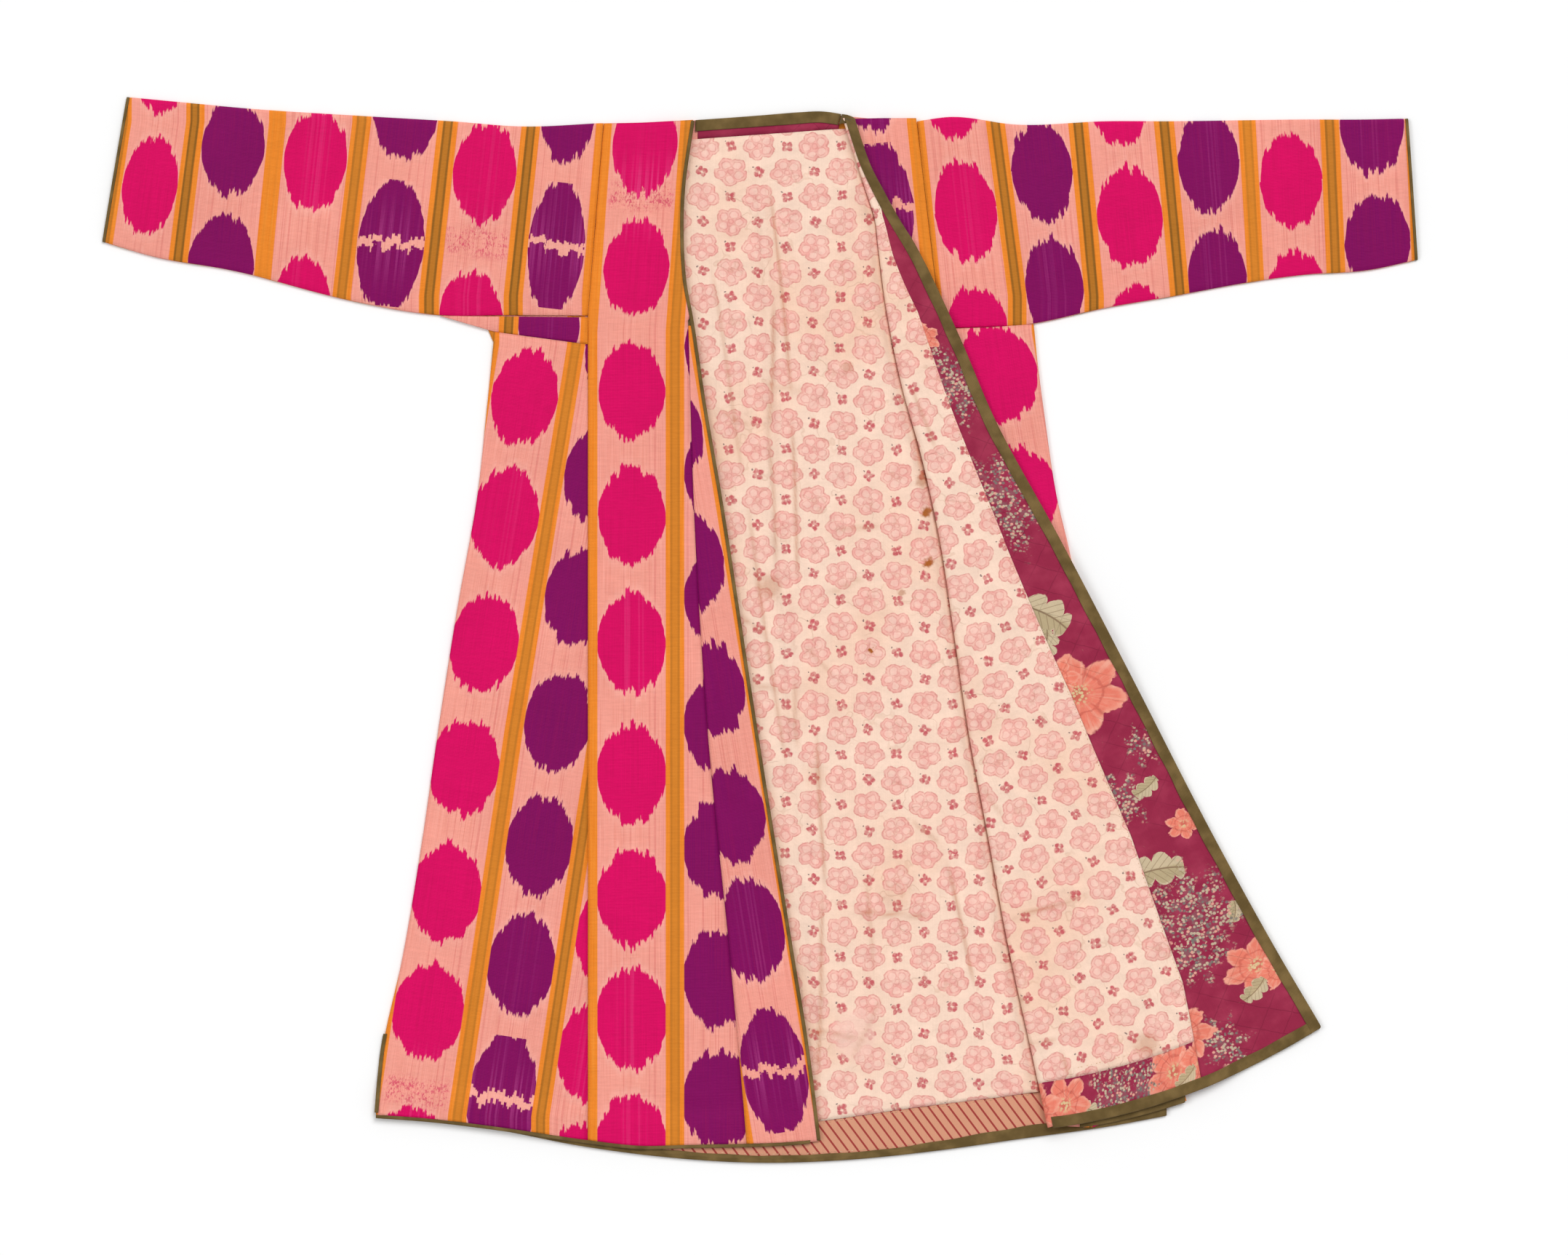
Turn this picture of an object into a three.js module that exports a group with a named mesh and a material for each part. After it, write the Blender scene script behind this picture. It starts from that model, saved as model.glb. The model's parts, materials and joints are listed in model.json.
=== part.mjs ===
// A munisak, the long open robe of Central Asia, laid out on its back.
// The left front lies closed with its ikat face up. The right front is turned back along
// a long fold, so that its lining, its facing and the lining of the back can be seen.
// Millimetres, +Z up, +X to the right of someone who looks down at it, +Y towards the neck.
// Plan sizes are taken from the shoulder line (y = 0) and from near the centre front (x = 0).
import * as THREE from 'three';

// ---- cloth -------------------------------------------------------------------------------
const OUTER = 1.5; // ikat cloth with its thin wadding
const LINING = 1.0; // printed cotton lining and facings
const TAPE = 1.0; // woven edge tape
const GAP = 0.3; // clearance between two cloths that touch
const EDGE = 2.0; // a panel ends this far inside its finished, taped edge
const TAPE_WIDE = 13; // leaf of the tape on the lining side
const TAPE_NARROW = 4; // leaf of the tape on the ikat side

// ---- heights of the undersides, worked up from the floor -----------------------------------
const FLOOR = 0;
const BACK = FLOOR;
const BACK_LINING = BACK + OUTER + GAP;
const FRONT = BACK_LINING + LINING + GAP;
const FRONT_ON_TAPE = FRONT + TAPE + GAP; // left front where its own tape runs below it
const FRONT_HEM = FRONT_ON_TAPE + TAPE + GAP; // fronts where they cross the tape of the back hem
const SHOULDER = BACK + OUTER + GAP; // fronts where they turn over to the back
const RIGHT_FRONT = FRONT + LINING + GAP; // right front, which lies on its own lining
const FLAP = RIGHT_FRONT + OUTER + GAP + TAPE + GAP; // turned-back cloth on the right front
const FLAP_HEM = FRONT_HEM + OUTER + GAP + TAPE + GAP + TAPE + GAP;
const FLAP_ON_FLOOR = TAPE + GAP; // turned-back cloth beyond the side of the robe

// ---- outline tables: a row for each place where an edge changes direction -------------------
const sideLeft = [
  { y: -222, x: -384 }, { y: -240, x: -317 }, { y: -330, x: -326 }, { y: -430, x: -337 },
  { y: -560, x: -360 }, { y: -700, x: -382 }, { y: -830, x: -401 }, { y: -960, x: -423 },
  { y: -1000, x: -431 }, { y: -1060, x: -447 }, { y: -1143, x: -453 },
];
const sideRight = [
  { y: -237, x: 301 }, { y: -330, x: 313 }, { y: -430, x: 328 }, { y: -494, x: 343 },
  { y: -620, x: 366 }, { y: -760, x: 391 }, { y: -900, x: 414 }, { y: -1030, x: 436 },
  { y: -1140, x: 454 },
];
const sideRightFront = [
  { y: -237, x: 301 }, { y: -330, x: 313 }, { y: -430, x: 328 }, { y: -494, x: 343 },
  { y: -620, x: 366 }, { y: -760, x: 393 }, { y: -900, x: 421 }, { y: -1030, x: 453 },
  { y: -1124, x: 477 },
];
const sleeveSeamLeft = [{ y: 10, x: -191 }, { y: -224, x: -210 }, { y: -1200, x: -210 }];
const sleeveSeamRight = [{ y: 10, x: 166 }, { y: -237, x: 195 }, { y: -1200, x: 195 }];
const frontEdgeLeft = [
  { y: 10, x: -86 }, { y: -3, x: -88 }, { y: -73, x: -98 }, { y: -122, x: -100 }, { y: -182, x: -97 },
  { y: -226, x: -89 }, { y: -320, x: -75 }, { y: -437, x: -55 }, { y: -554, x: -37 },
  { y: -647, x: -23 }, { y: -781, x: -2 }, { y: -879, x: 14 }, { y: -965, x: 28 },
  { y: -1051, x: 42 }, { y: -1200, x: 61 },
];
const frontGoreSeam = [
  { y: -226, x: -95 }, { y: -449, x: -88 }, { y: -611, x: -79 }, { y: -741, x: -69 },
  { y: -947, x: -48 }, { y: -1171, x: -28 }, { y: -1200, x: -26 },
];
const turnedFold = [
  { y: 4, x: 82 }, { y: -52, x: 100 }, { y: -80, x: 109 }, { y: -112, x: 119 }, { y: -145, x: 123 },
  { y: -214, x: 132 }, { y: -303, x: 150 }, { y: -382, x: 172 }, { y: -482, x: 194 },
  { y: -581, x: 209 }, { y: -702, x: 227 }, { y: -820, x: 249 }, { y: -945, x: 272 },
  { y: -1068, x: 299 }, { y: -1153, x: 317 },
];
const turnedEdge = [
  { y: 0, x: 97 }, { y: -52, x: 115 }, { y: -77, x: 128 }, { y: -110, x: 146 }, { y: -144, x: 167 },
  { y: -244, x: 215 }, { y: -344, x: 258 }, { y: -478, x: 331 }, { y: -645, x: 418 },
  { y: -812, x: 504 }, { y: -945, x: 577 }, { y: -1037, x: 631 },
];
const hemBack = [
  { x: -460, y: -1142 }, { x: -392, y: -1147 }, { x: -317, y: -1156 }, { x: -217, y: -1175 },
  { x: -117, y: -1188 }, { x: -17, y: -1194 }, { x: 84, y: -1191 }, { x: 184, y: -1181 },
  { x: 284, y: -1167 }, { x: 384, y: -1153 }, { x: 460, y: -1139 },
];
const hemLeftFront = [
  { x: -460, y: -1142 }, { x: -392, y: -1147 }, { x: -317, y: -1156 }, { x: -207, y: -1172 },
  { x: -151, y: -1178 }, { x: -95, y: -1177 }, { x: 17, y: -1174 }, { x: 70, y: -1169 },
];
const hemRightFront = [
  { x: 300, y: -1158 }, { x: 377, y: -1150 }, { x: 430, y: -1138 }, { x: 480, y: -1123 },
];
const shoulder = [
  { x: -210, y: -2 }, { x: -150, y: -1 }, { x: -88, y: 2 }, { x: -17, y: 7 }, { x: 33, y: 11 },
  { x: 58, y: 12 }, { x: 88, y: 8 }, { x: 134, y: 4 }, { x: 190, y: -2 },
];
const backLiningTop = [{ x: -130, y: -22 }, { x: -86, y: -20 }, { x: 67, y: -9 }, { x: 120, y: -6 }];
const hemFacingTop = [
  { x: 0, y: -1152 }, { x: 61, y: -1146 }, { x: 164, y: -1131 }, { x: 262, y: -1119 }, { x: 350, y: -1106 },
];
// share of the turned-back cloth, from its fold outwards, that the lining covers
const liningShare = [
  { t: 0, s: 0.96 }, { t: 0.05, s: 0.9 }, { t: 0.1, s: 0.3 }, { t: 0.14, s: 0.3 }, { t: 0.2, s: 0.5 },
  { t: 0.45, s: 0.56 }, { t: 0.6, s: 0.64 }, { t: 0.75, s: 0.67 }, { t: 0.9, s: 0.64 }, { t: 1, s: 0.56 },
];
// long soft fold down the lining of the back, and how far it stands up
const backFold = [
  { y: 0, x: -16, rise: 0.5 }, { y: -120, x: -9, rise: 3 }, { y: -409, x: 4, rise: 5 },
  { y: -743, x: 32, rise: 4.5 }, { y: -945, x: 66, rise: 3 }, { y: -1160, x: 100, rise: 0.5 },
];
// flattened sleeves, from the seam to the cuff: the shoulder fold, the underarm and the height
const sleeveLeft = [
  { topX: -192.2, topY: -2, lowX: -210.1, lowY: -222, high: 4.6 },
  { topX: -284, topY: -6, lowX: -300, lowY: -221.5, high: 5.4 },
  { topX: -367, topY: 0, lowX: -384, lowY: -221, high: 5.8 },
  { topX: -468, topY: 6, lowX: -485, lowY: -204, high: 6 },
  { topX: -593, topY: 14, lowX: -618, lowY: -170, high: 5.8 },
  { topX: -668, topY: 21, lowX: -700, lowY: -156, high: 5.6 },
  { topX: -735.7, topY: 27.5, lowX: -763.7, lowY: -138, high: 5.4 },
];
const sleeveRight = [
  { topX: 167.4, topY: 0, lowX: 195.2, lowY: -236.5, high: 5.9 },
  { topX: 209, topY: 5, lowX: 250, lowY: -235, high: 6 },
  { topX: 284, topY: -4, lowX: 301, lowY: -231, high: 6 },
  { topX: 384, topY: 0, lowX: 384, lowY: -213, high: 6 },
  { topX: 459, topY: 0, lowX: 459, lowY: -200, high: 5.8 },
  { topX: 534, topY: 1, lowX: 534, lowY: -186, high: 5.8 },
  { topX: 610, topY: 2, lowX: 612, lowY: -175, high: 5.6 },
  { topX: 675, topY: 2, lowX: 683, lowY: -170, high: 5.6 },
  { topX: 727.7, topY: 3, lowX: 738.7, lowY: -158.5, high: 5.4 },
];
const CUFF_TAPE = 4; // tape seen along the end of a sleeve

// ---- reading the tables ----------------------------------------------------------------------
const mix = (a, b, k) => a + (b - a) * k;
const clamp01 = (k) => Math.min(1, Math.max(0, k));
const soft = (k) => clamp01(k) ** 2 * (3 - 2 * clamp01(k));

// Value in column `want` where column `by` has the value `at`, along straight lines between rows.
function read(table, by, at, want) {
  const rising = table[table.length - 1][by] > table[0][by];
  const rows = rising ? table : [...table].reverse();
  let k = 0;
  while (k < rows.length - 2 && at > rows[k + 1][by]) k += 1;
  const [a, b] = [rows[k], rows[k + 1]];
  return mix(a[want], b[want], clamp01((at - a[by]) / (b[by] - a[by])));
}
const xAt = (table, y) => read(table, 'y', y, 'x');
const yAt = (table, x) => read(table, 'x', x, 'y');

// Point at a share t of the way along an outline table.
function along(table, t) {
  const steps = table.slice(1).map((row, i) => Math.hypot(row.x - table[i].x, row.y - table[i].y));
  let left = t * steps.reduce((sum, step) => sum + step, 0);
  let k = 0;
  while (k < steps.length - 1 && left > steps[k]) {
    left -= steps[k];
    k += 1;
  }
  const share = clamp01(left / steps[k]);
  return { x: mix(table[k].x, table[k + 1].x, share), y: mix(table[k].y, table[k + 1].y, share) };
}

// Share of the way along an outline table at which it reaches a given y.
function shareAtY(table, y) {
  const length = (rows) => rows.slice(1).reduce((sum, row, i) => sum + Math.hypot(row.x - rows[i].x, row.y - rows[i].y), 0);
  const passed = table.filter((row) => row.y > y);
  return length([...passed, { x: xAt(table, y), y }]) / length(table);
}

// ---- closed solids ------------------------------------------------------------------------
const finishes = {
  ikat: { color: 0xcf5f74, roughness: 0.75 },
  lining: { color: 0xf3cdbf, roughness: 0.9 },
  facing: { color: 0x96324b, roughness: 0.85 },
  bias: { color: 0xd9a48c, roughness: 0.9 },
  tape: { color: 0x735c37, roughness: 0.8 },
};

function signedVolume(points, faces) {
  return faces.reduce((sum, [a, b, c]) => sum + points[a].dot(points[b].clone().cross(points[c])), 0) / 6;
}

const robe = new THREE.Group();

function addSolid(name, finish, points, faces) {
  const turned = signedVolume(points, faces) < 0 ? faces.map(([a, b, c]) => [a, c, b]) : faces;
  const geometry = new THREE.BufferGeometry();
  geometry.setAttribute('position', new THREE.Float32BufferAttribute(points.flatMap((p) => p.toArray()), 3));
  geometry.setIndex(turned.flat());
  geometry.computeVertexNormals();
  const material = new THREE.MeshStandardMaterial({ ...finishes[finish], metalness: 0 });
  const mesh = new THREE.Mesh(geometry, material);
  mesh.name = name;
  robe.add(mesh);
}

// A wall between two offsets of one grid. Each grid entry holds a point and the way its cloth faces.
function addCloth(name, finish, grid, from, to) {
  const rows = grid.length;
  const cols = grid[0].length;
  const at = (i, j, side) => (i * cols + j) * 2 + side;
  const points = grid.flat().flatMap(({ p, n }) => [from, to].map((off) => p.clone().addScaledVector(n, off)));
  const faces = [];
  const quad = (a, b, c, d) => faces.push([a, b, c], [a, c, d]);
  for (let i = 0; i < rows - 1; i += 1) {
    for (let j = 0; j < cols - 1; j += 1) {
      quad(at(i, j, 1), at(i, j + 1, 1), at(i + 1, j + 1, 1), at(i + 1, j, 1));
      quad(at(i, j, 0), at(i + 1, j, 0), at(i + 1, j + 1, 0), at(i, j + 1, 0));
    }
  }
  for (let j = 0; j < cols - 1; j += 1) {
    quad(at(0, j, 0), at(0, j + 1, 0), at(0, j + 1, 1), at(0, j, 1));
    quad(at(rows - 1, j, 0), at(rows - 1, j, 1), at(rows - 1, j + 1, 1), at(rows - 1, j + 1, 0));
  }
  for (let i = 0; i < rows - 1; i += 1) {
    quad(at(i, 0, 0), at(i, 0, 1), at(i + 1, 0, 1), at(i + 1, 0, 0));
    quad(at(i, cols - 1, 0), at(i + 1, cols - 1, 0), at(i + 1, cols - 1, 1), at(i, cols - 1, 1));
  }
  addSolid(name, finish, points, faces);
}

// Rings of points, each closed on itself, joined one to the next and shut by a face at each end.
function addSwept(name, finish, rings, capFaces) {
  const count = rings[0].length;
  const faces = [];
  for (let i = 0; i < rings.length - 1; i += 1) {
    for (let j = 0; j < count; j += 1) {
      const a = i * count + j;
      const b = i * count + ((j + 1) % count);
      faces.push([a, b, b + count], [a, b + count, a + count]);
    }
  }
  const last = (rings.length - 1) * count;
  for (const [a, b, c] of capFaces) {
    faces.push([a, c, b], [last + a, last + b, last + c]);
  }
  addSolid(name, finish, rings.flat(), faces);
}

const UP = new THREE.Vector3(0, 0, 1);
const flat = (x, y, z) => ({ p: new THREE.Vector3(x, y, z), n: UP });

// A grid from lists of row and column stations.
const gridOf = (rowStations, colStations, place) =>
  rowStations.map((v, i) => colStations.map((u, j) => place(v, u, i, j)));

const evenly = (count, from = 0, to = 1) =>
  Array.from({ length: count + 1 }, (_, i) => mix(from, to, i / count));

// Tape folded round an edge. Each stop of the path pairs a point of the panel's edge with a
// point further in on the same panel, so the two leaves follow the slope of the cloth.
// A tape that lies on the floor has no lower leaf and stands on its outer wall.
function addTape(name, path, thick, leafAbove, leafBelow) {
  const rings = path.map(({ edge, inner }, i) => {
    const inward = inner.clone().sub(edge).normalize();
    const above = typeof leafAbove === 'function' ? leafAbove(i) : leafAbove;
    const top = thick + GAP;
    const low = -GAP - TAPE;
    const section = leafBelow > 0
      ? [
        [leafBelow - EDGE, low], [-EDGE, low], [-EDGE, top + TAPE], [above - EDGE, top + TAPE],
        [above - EDGE, top], [TAPE - EDGE, top], [TAPE - EDGE, -GAP], [leafBelow - EDGE, -GAP],
      ]
      : [
        [-EDGE, 0], [-EDGE, top + TAPE], [above - EDGE, top + TAPE],
        [above - EDGE, top], [TAPE - EDGE, top], [TAPE - EDGE, 0],
      ];
    return section.map(([across, high]) => {
      const point = edge.clone().addScaledVector(inward, across).addScaledVector(UP, high);
      return point.setZ(Math.max(FLOOR, point.z));
    });
  });
  const caps = leafBelow > 0
    ? [[0, 1, 6], [0, 6, 7], [1, 2, 5], [1, 5, 6], [2, 3, 4], [2, 4, 5]]
    : [[0, 1, 4], [0, 4, 5], [1, 2, 3], [1, 3, 4]];
  addSwept(name, 'tape', rings, caps);
}

// Stops for a tape along the last column or the last row of a grid.
const columnEdge = (grid) => grid.map((row) => ({ edge: row.at(-1).p, inner: row.at(-2).p }));
const rowEdge = (grid) => grid.at(-1).map(({ p }, j) => ({ edge: p, inner: grid.at(-2)[j].p }));

// The stop that lies a distance back from the last one of a path.
function shortened(path, distance) {
  const [before, end] = path.slice(-2);
  const share = distance / before.edge.distanceTo(end.edge);
  const stop = {
    edge: end.edge.clone().lerp(before.edge, share),
    inner: end.inner.clone().lerp(before.inner, share),
  };
  return [...path.slice(0, -1), stop];
}

// ---- back, which lies face down on the floor ------------------------------------------------
const hemInside = (table, x) => yAt(table, x) + EDGE;

function buildBack() {
  const columns = [-210, -165, -117, -88.5, -87.5, -17, 33, 58, 87.5, 88.5, 134, 195];
  const panel = gridOf(evenly(6), columns, (v, x, i, j) => {
    const top = yAt(shoulder, x) - (x > -88 && x < 88 ? EDGE : 0);
    const y = mix(top, hemInside(hemBack, x), v);
    const left = xAt(sleeveSeamLeft, y) + GAP / 2;
    const right = xAt(sleeveSeamRight, y) - GAP / 2;
    if (j === 0) return flat(left, y, BACK);
    if (j === columns.length - 1) return flat(right, y, BACK);
    return flat(x, y, BACK);
  });
  addCloth('back_panel', 'ikat', panel, 0, OUTER);

  const leftRows = [-222.5, -240, -330, -430, -560, -700, -830, -960, -1000, -1060, null];
  const goreLeft = gridOf(leftRows, [0, 0.25, 0.56, 1], (row, u) => {
    const x = mix(xAt(sideLeft, row ?? -1143) + GAP, -210 - GAP / 2, u);
    return flat(x, row ?? hemInside(hemBack, x), BACK);
  });
  addCloth('back_gore_left', 'ikat', goreLeft, 0, OUTER);

  const rightRows = [-237.3, -330, -430, -494, -620, -760, -900, -1030, null];
  const goreRight = gridOf(rightRows, [0, 0.34, 0.73, 1], (row, u) => {
    const x = mix(195 + GAP / 2, xAt(sideRight, row ?? -1140), u);
    return flat(x, row ?? hemInside(hemBack, x), BACK);
  });
  addCloth('back_gore_right', 'ikat', goreRight, 0, OUTER);

  const thick = OUTER + GAP + LINING;
  const neck = [-85, -17, 33, 58, 78].map((x) => ({
    edge: new THREE.Vector3(x, yAt(shoulder, x) - EDGE, BACK),
    inner: new THREE.Vector3(x, yAt(shoulder, x) - TAPE_WIDE, BACK),
  }));
  addTape('neck_binding', neck, thick, TAPE_WIDE, 0);
  const hem = [...rowEdge(goreLeft), ...rowEdge(panel), ...rowEdge(goreRight)];
  addTape('back_hem_binding', hem, thick, TAPE_WIDE + 1, 0);
}

// Soft relief of the lining: one long ridge with a shallow one beside it.
function liningRise(y, x) {
  const ridge = read(backFold, 'y', y, 'x');
  const rise = read(backFold, 'y', y, 'rise');
  const near = (centre, half) => Math.max(0, 1 - Math.abs(x - centre) / half);
  return rise * (near(ridge, 28) + 0.55 * near(ridge + 46, 26));
}

function buildBackLining() {
  const rowCount = 13;
  const lining = gridOf(evenly(rowCount), evenly(9), (v, u, i, j) => {
    const guess = mix(-15, -1130, v);
    const left = xAt(frontEdgeLeft, guess) - 26;
    const right = xAt(turnedFold, guess) + 20;
    const ridge = read(backFold, 'y', guess, 'x');
    const stations = [
      left, mix(left, ridge - 28, 0.55), ridge - 28, ridge, ridge + 20, ridge + 46, ridge + 72,
      mix(ridge + 72, right - 22, 0.5), right - 22, right,
    ];
    const x = stations[j];
    const y = mix(yAt(backLiningTop, x), yAt(hemFacingTop, x) + GAP, v);
    return flat(x, y, BACK_LINING + liningRise(guess, x));
  });
  addCloth('back_lining', 'lining', lining, 0, LINING);

  const hemFacing = gridOf(evenly(2), evenly(8, 32, 338), (v, x) =>
    flat(x, mix(yAt(hemFacingTop, x), hemInside(hemBack, x), v), BACK_LINING));
  addCloth('back_hem_facing', 'bias', hemFacing, 0, LINING);

  const neckFacing = gridOf(evenly(1), [-84, -17, 33, 58, 78], (v, x) =>
    flat(x, mix(yAt(shoulder, x) - EDGE, yAt(backLiningTop, x) + GAP, v), BACK_LINING));
  addCloth('neck_facing', 'facing', neckFacing, 0, LINING);
}

// ---- left front, closed, ikat face up -------------------------------------------------------
// Height of its underside: low where it turns over to the back, high where tapes lie below it.
function leftFrontHeight(x, y, fromSide, fromTop, fromHem) {
  const body = mix(SHOULDER, FRONT, soft(Math.min(fromSide, fromTop) / 30));
  const fromEdge = xAt(frontEdgeLeft, y) - x;
  const overTape = mix(FRONT_ON_TAPE, SHOULDER, soft((fromEdge - 30) / 30));
  const overHem = mix(FRONT_HEM, SHOULDER, soft((fromHem - 22) / 33));
  return Math.max(body, overTape, overHem);
}

// Rows from the top of a panel to its hem, the last ones at fixed distances from the hem.
const HEM_ROWS = [55, 22, 0];
function rowsToHem(count, top, hem) {
  const main = evenly(count, top, hem + HEM_ROWS[0]);
  return [...main, hem + HEM_ROWS[1], hem];
}

function frontPanel({ rows, shares, topAt, leftAt, rightAt, sideGap, topGap }) {
  const count = rows + HEM_ROWS.length;
  return gridOf(evenly(count - 1), shares, (_, share, i) => {
    const hemX = mix(leftAt(-1150), rightAt(-1150), share);
    const hem = hemInside(hemLeftFront, hemX);
    const y = rowsToHem(rows, topAt(share), hem)[i];
    const x = mix(leftAt(y), rightAt(y), share);
    const z = leftFrontHeight(x, y, sideGap(x, y), topGap(y), y - hem);
    return flat(x, y, z);
  });
}

const FAR = 1000;
function buildLeftFront() {
  const goreTop = -228;
  const seam = (y) => xAt(sleeveSeamLeft, y);
  const edge = (y) => xAt(frontEdgeLeft, y) - EDGE;
  const main = frontPanel({
    rows: 13,
    shares: [0, 0.32, 0.63, 0.8, 1],
    topAt: (share) => yAt(shoulder, mix(-191, -88, share)),
    leftAt: (y) => seam(y) + GAP / 2,
    rightAt: (y) => (y > goreTop ? edge(y) : Math.min(edge(y) - 1, xAt(frontGoreSeam, y) - GAP / 2)),
    sideGap: () => FAR,
    topGap: (y) => -y,
  });
  addCloth('left_front_main', 'ikat', main, 0, OUTER);

  const gore = frontPanel({
    rows: 11,
    shares: [0, 0.25, 0.5, 0.75, 1],
    topAt: () => goreTop - 6,
    leftAt: (y) => Math.min(edge(y) - 1, xAt(frontGoreSeam, y) - GAP / 2) + GAP,
    rightAt: edge,
    sideGap: () => FAR,
    topGap: () => FAR,
  });
  addCloth('left_front_gore', 'ikat', gore, 0, OUTER);

  const side = (y) => xAt(sideLeft, y);
  const goreTopLine = (share) => mix(-241, -255.5, share);
  const sideGore = frontPanel({
    rows: 11,
    shares: [0, 0.12, 0.25, 0.56, 1],
    topAt: goreTopLine,
    leftAt: side,
    rightAt: (y) => seam(y) - GAP / 2,
    sideGap: (x, y) => x - side(y),
    topGap: () => FAR,
  });
  addCloth('left_side_gore', 'ikat', sideGore, 0, OUTER);

  const gusset = gridOf(evenly(2), [0, 0.3, 0.65, 1], (v, share) => {
    const x = mix(mix(-380, -317, v), seam(-224) - GAP / 2, share);
    const y = mix(mix(-222.6, -224.4, share), goreTopLine(share) + GAP, v);
    return flat(x, y, mix(SHOULDER, FRONT, soft(share * 3)));
  });
  addCloth('left_gusset', 'ikat', gusset, 0, OUTER);

  const edgePath = [...columnEdge(main).filter(({ edge: p }) => p.y > goreTop), ...columnEdge(gore)];
  addTape('left_front_binding', edgePath, OUTER, TAPE_NARROW, TAPE_WIDE);
  const hemPath = [...rowEdge(sideGore), ...rowEdge(main).slice(1), ...rowEdge(gore).slice(1)];
  addTape('left_hem_binding', shortened(hemPath, TAPE_WIDE), OUTER, TAPE_NARROW, TAPE_WIDE);
}

// ---- sleeves: flattened tubes ----------------------------------------------------------------
const SLEEVE_EDGE = 3.6; // height of the folded edges of a flattened sleeve
const ROUNDING = 1.5; // how far the flat faces stop short of the folded edges

function sleeveRing({ topX, topY, lowX, lowY, high }, inset) {
  const across = new THREE.Vector3(lowX - topX, lowY - topY, 0);
  const wide = across.length();
  across.divideScalar(wide);
  const place = (distance, z) => new THREE.Vector3(topX, topY, z).addScaledVector(across, distance);
  const edge = inset > 0 ? inset + 1 : 0;
  const start = edge + ROUNDING;
  const shares = evenly(6);
  const height = (share) => mix(SLEEVE_EDGE, high, Math.sin(Math.PI * share) ** 0.6);
  const below = shares.map((share) => place(mix(start, wide - start, share), inset));
  const above = shares.map((share) => place(mix(start, wide - start, share), height(share) - inset));
  return [...below, place(wide - edge, SLEEVE_EDGE / 2), ...above.reverse(), place(edge, SLEEVE_EDGE / 2)];
}

function addSleeve(name, finish, stations) {
  const outer = stations.map((row) => sleeveRing(row, 0));
  const inner = stations.map((row) => sleeveRing(row, OUTER));
  const rings = [...outer, ...inner.reverse()];
  const count = rings[0].length;
  const faces = [];
  for (let i = 0; i < rings.length; i += 1) {
    const next = (i + 1) % rings.length;
    for (let j = 0; j < count; j += 1) {
      const step = (j + 1) % count;
      const [a, b, c, d] = [i * count + j, i * count + step, next * count + step, next * count + j];
      faces.push([a, b, c], [a, c, d]);
    }
  }
  addSolid(name, finish, rings.flat(), faces);
}

// The row that lies a given distance beyond the cuff end of a sleeve.
function beyondCuff(stations, distance) {
  const [before, cuff] = stations.slice(-2);
  const moved = { ...cuff };
  for (const [x, y] of [['topX', 'topY'], ['lowX', 'lowY']]) {
    const run = Math.hypot(cuff[x] - before[x], cuff[y] - before[y]);
    moved[x] += ((cuff[x] - before[x]) / run) * distance;
    moved[y] += ((cuff[y] - before[y]) / run) * distance;
  }
  return moved;
}

function buildSleeves() {
  for (const [side, stations] of [['left', sleeveLeft], ['right', sleeveRight]]) {
    addSleeve(`${side}_sleeve`, 'ikat', stations);
    const tape = [beyondCuff(stations, GAP), beyondCuff(stations, GAP + CUFF_TAPE)];
    addSleeve(`${side}_cuff_binding`, 'tape', tape);
  }
}

// ---- right front, turned back along its fold -------------------------------------------------
const UNDERARM_RIGHT = -238;
const turnRows = [
  0, 0.05, 0.1, 0.155, shareAtY(turnedFold, UNDERARM_RIGHT), 0.26, 0.33, 0.39, 0.44, 0.49, 0.54, 0.59, 0.64,
  0.69, 0.74, 0.8, 0.85, 0.9, 0.957, 0.98, 1,
];
const HEM_FACING_ROW = turnRows.length - 3; // row where the lining gives way to the hem facing
const HEM_BOW = 19; // how far the turned-back hem curves below a straight line
const TAIL = 40; // lining that runs back under the right front past the fold
const DROP_STARTS = 22; // how far past the robe's side the turned-back cloth starts to fall
const DROP_RUN = 65; // and the run in which it reaches the floor

// Radius of the turn, at the middle of the ikat cloth: tight at the neck, loose below.
const turnRadius = (t) => mix(1.6, 4.2, soft((t - 0.1) / 0.18));

// Height of the turned-back cloth: on the robe, over its hem tapes, or down on the floor.
function flapHeight(x, y, t) {
  const onRobe = mix(FLAP, FLAP_HEM, soft((t - 0.957) / 0.023));
  const beyond = x - xAt(sideRightFront, y) - DROP_STARTS;
  return mix(onRobe, FLAP_ON_FLOOR, soft(beyond / DROP_RUN));
}

// Seam of the right front, with the sleeve above the underarm and with the side gore below it.
const rightSeam = (y) => (y > UNDERARM_RIGHT - 1
  ? xAt(sleeveSeamRight, y) - GAP / 2
  : Math.max(205, xAt(turnedFold, y) + 52));

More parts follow.
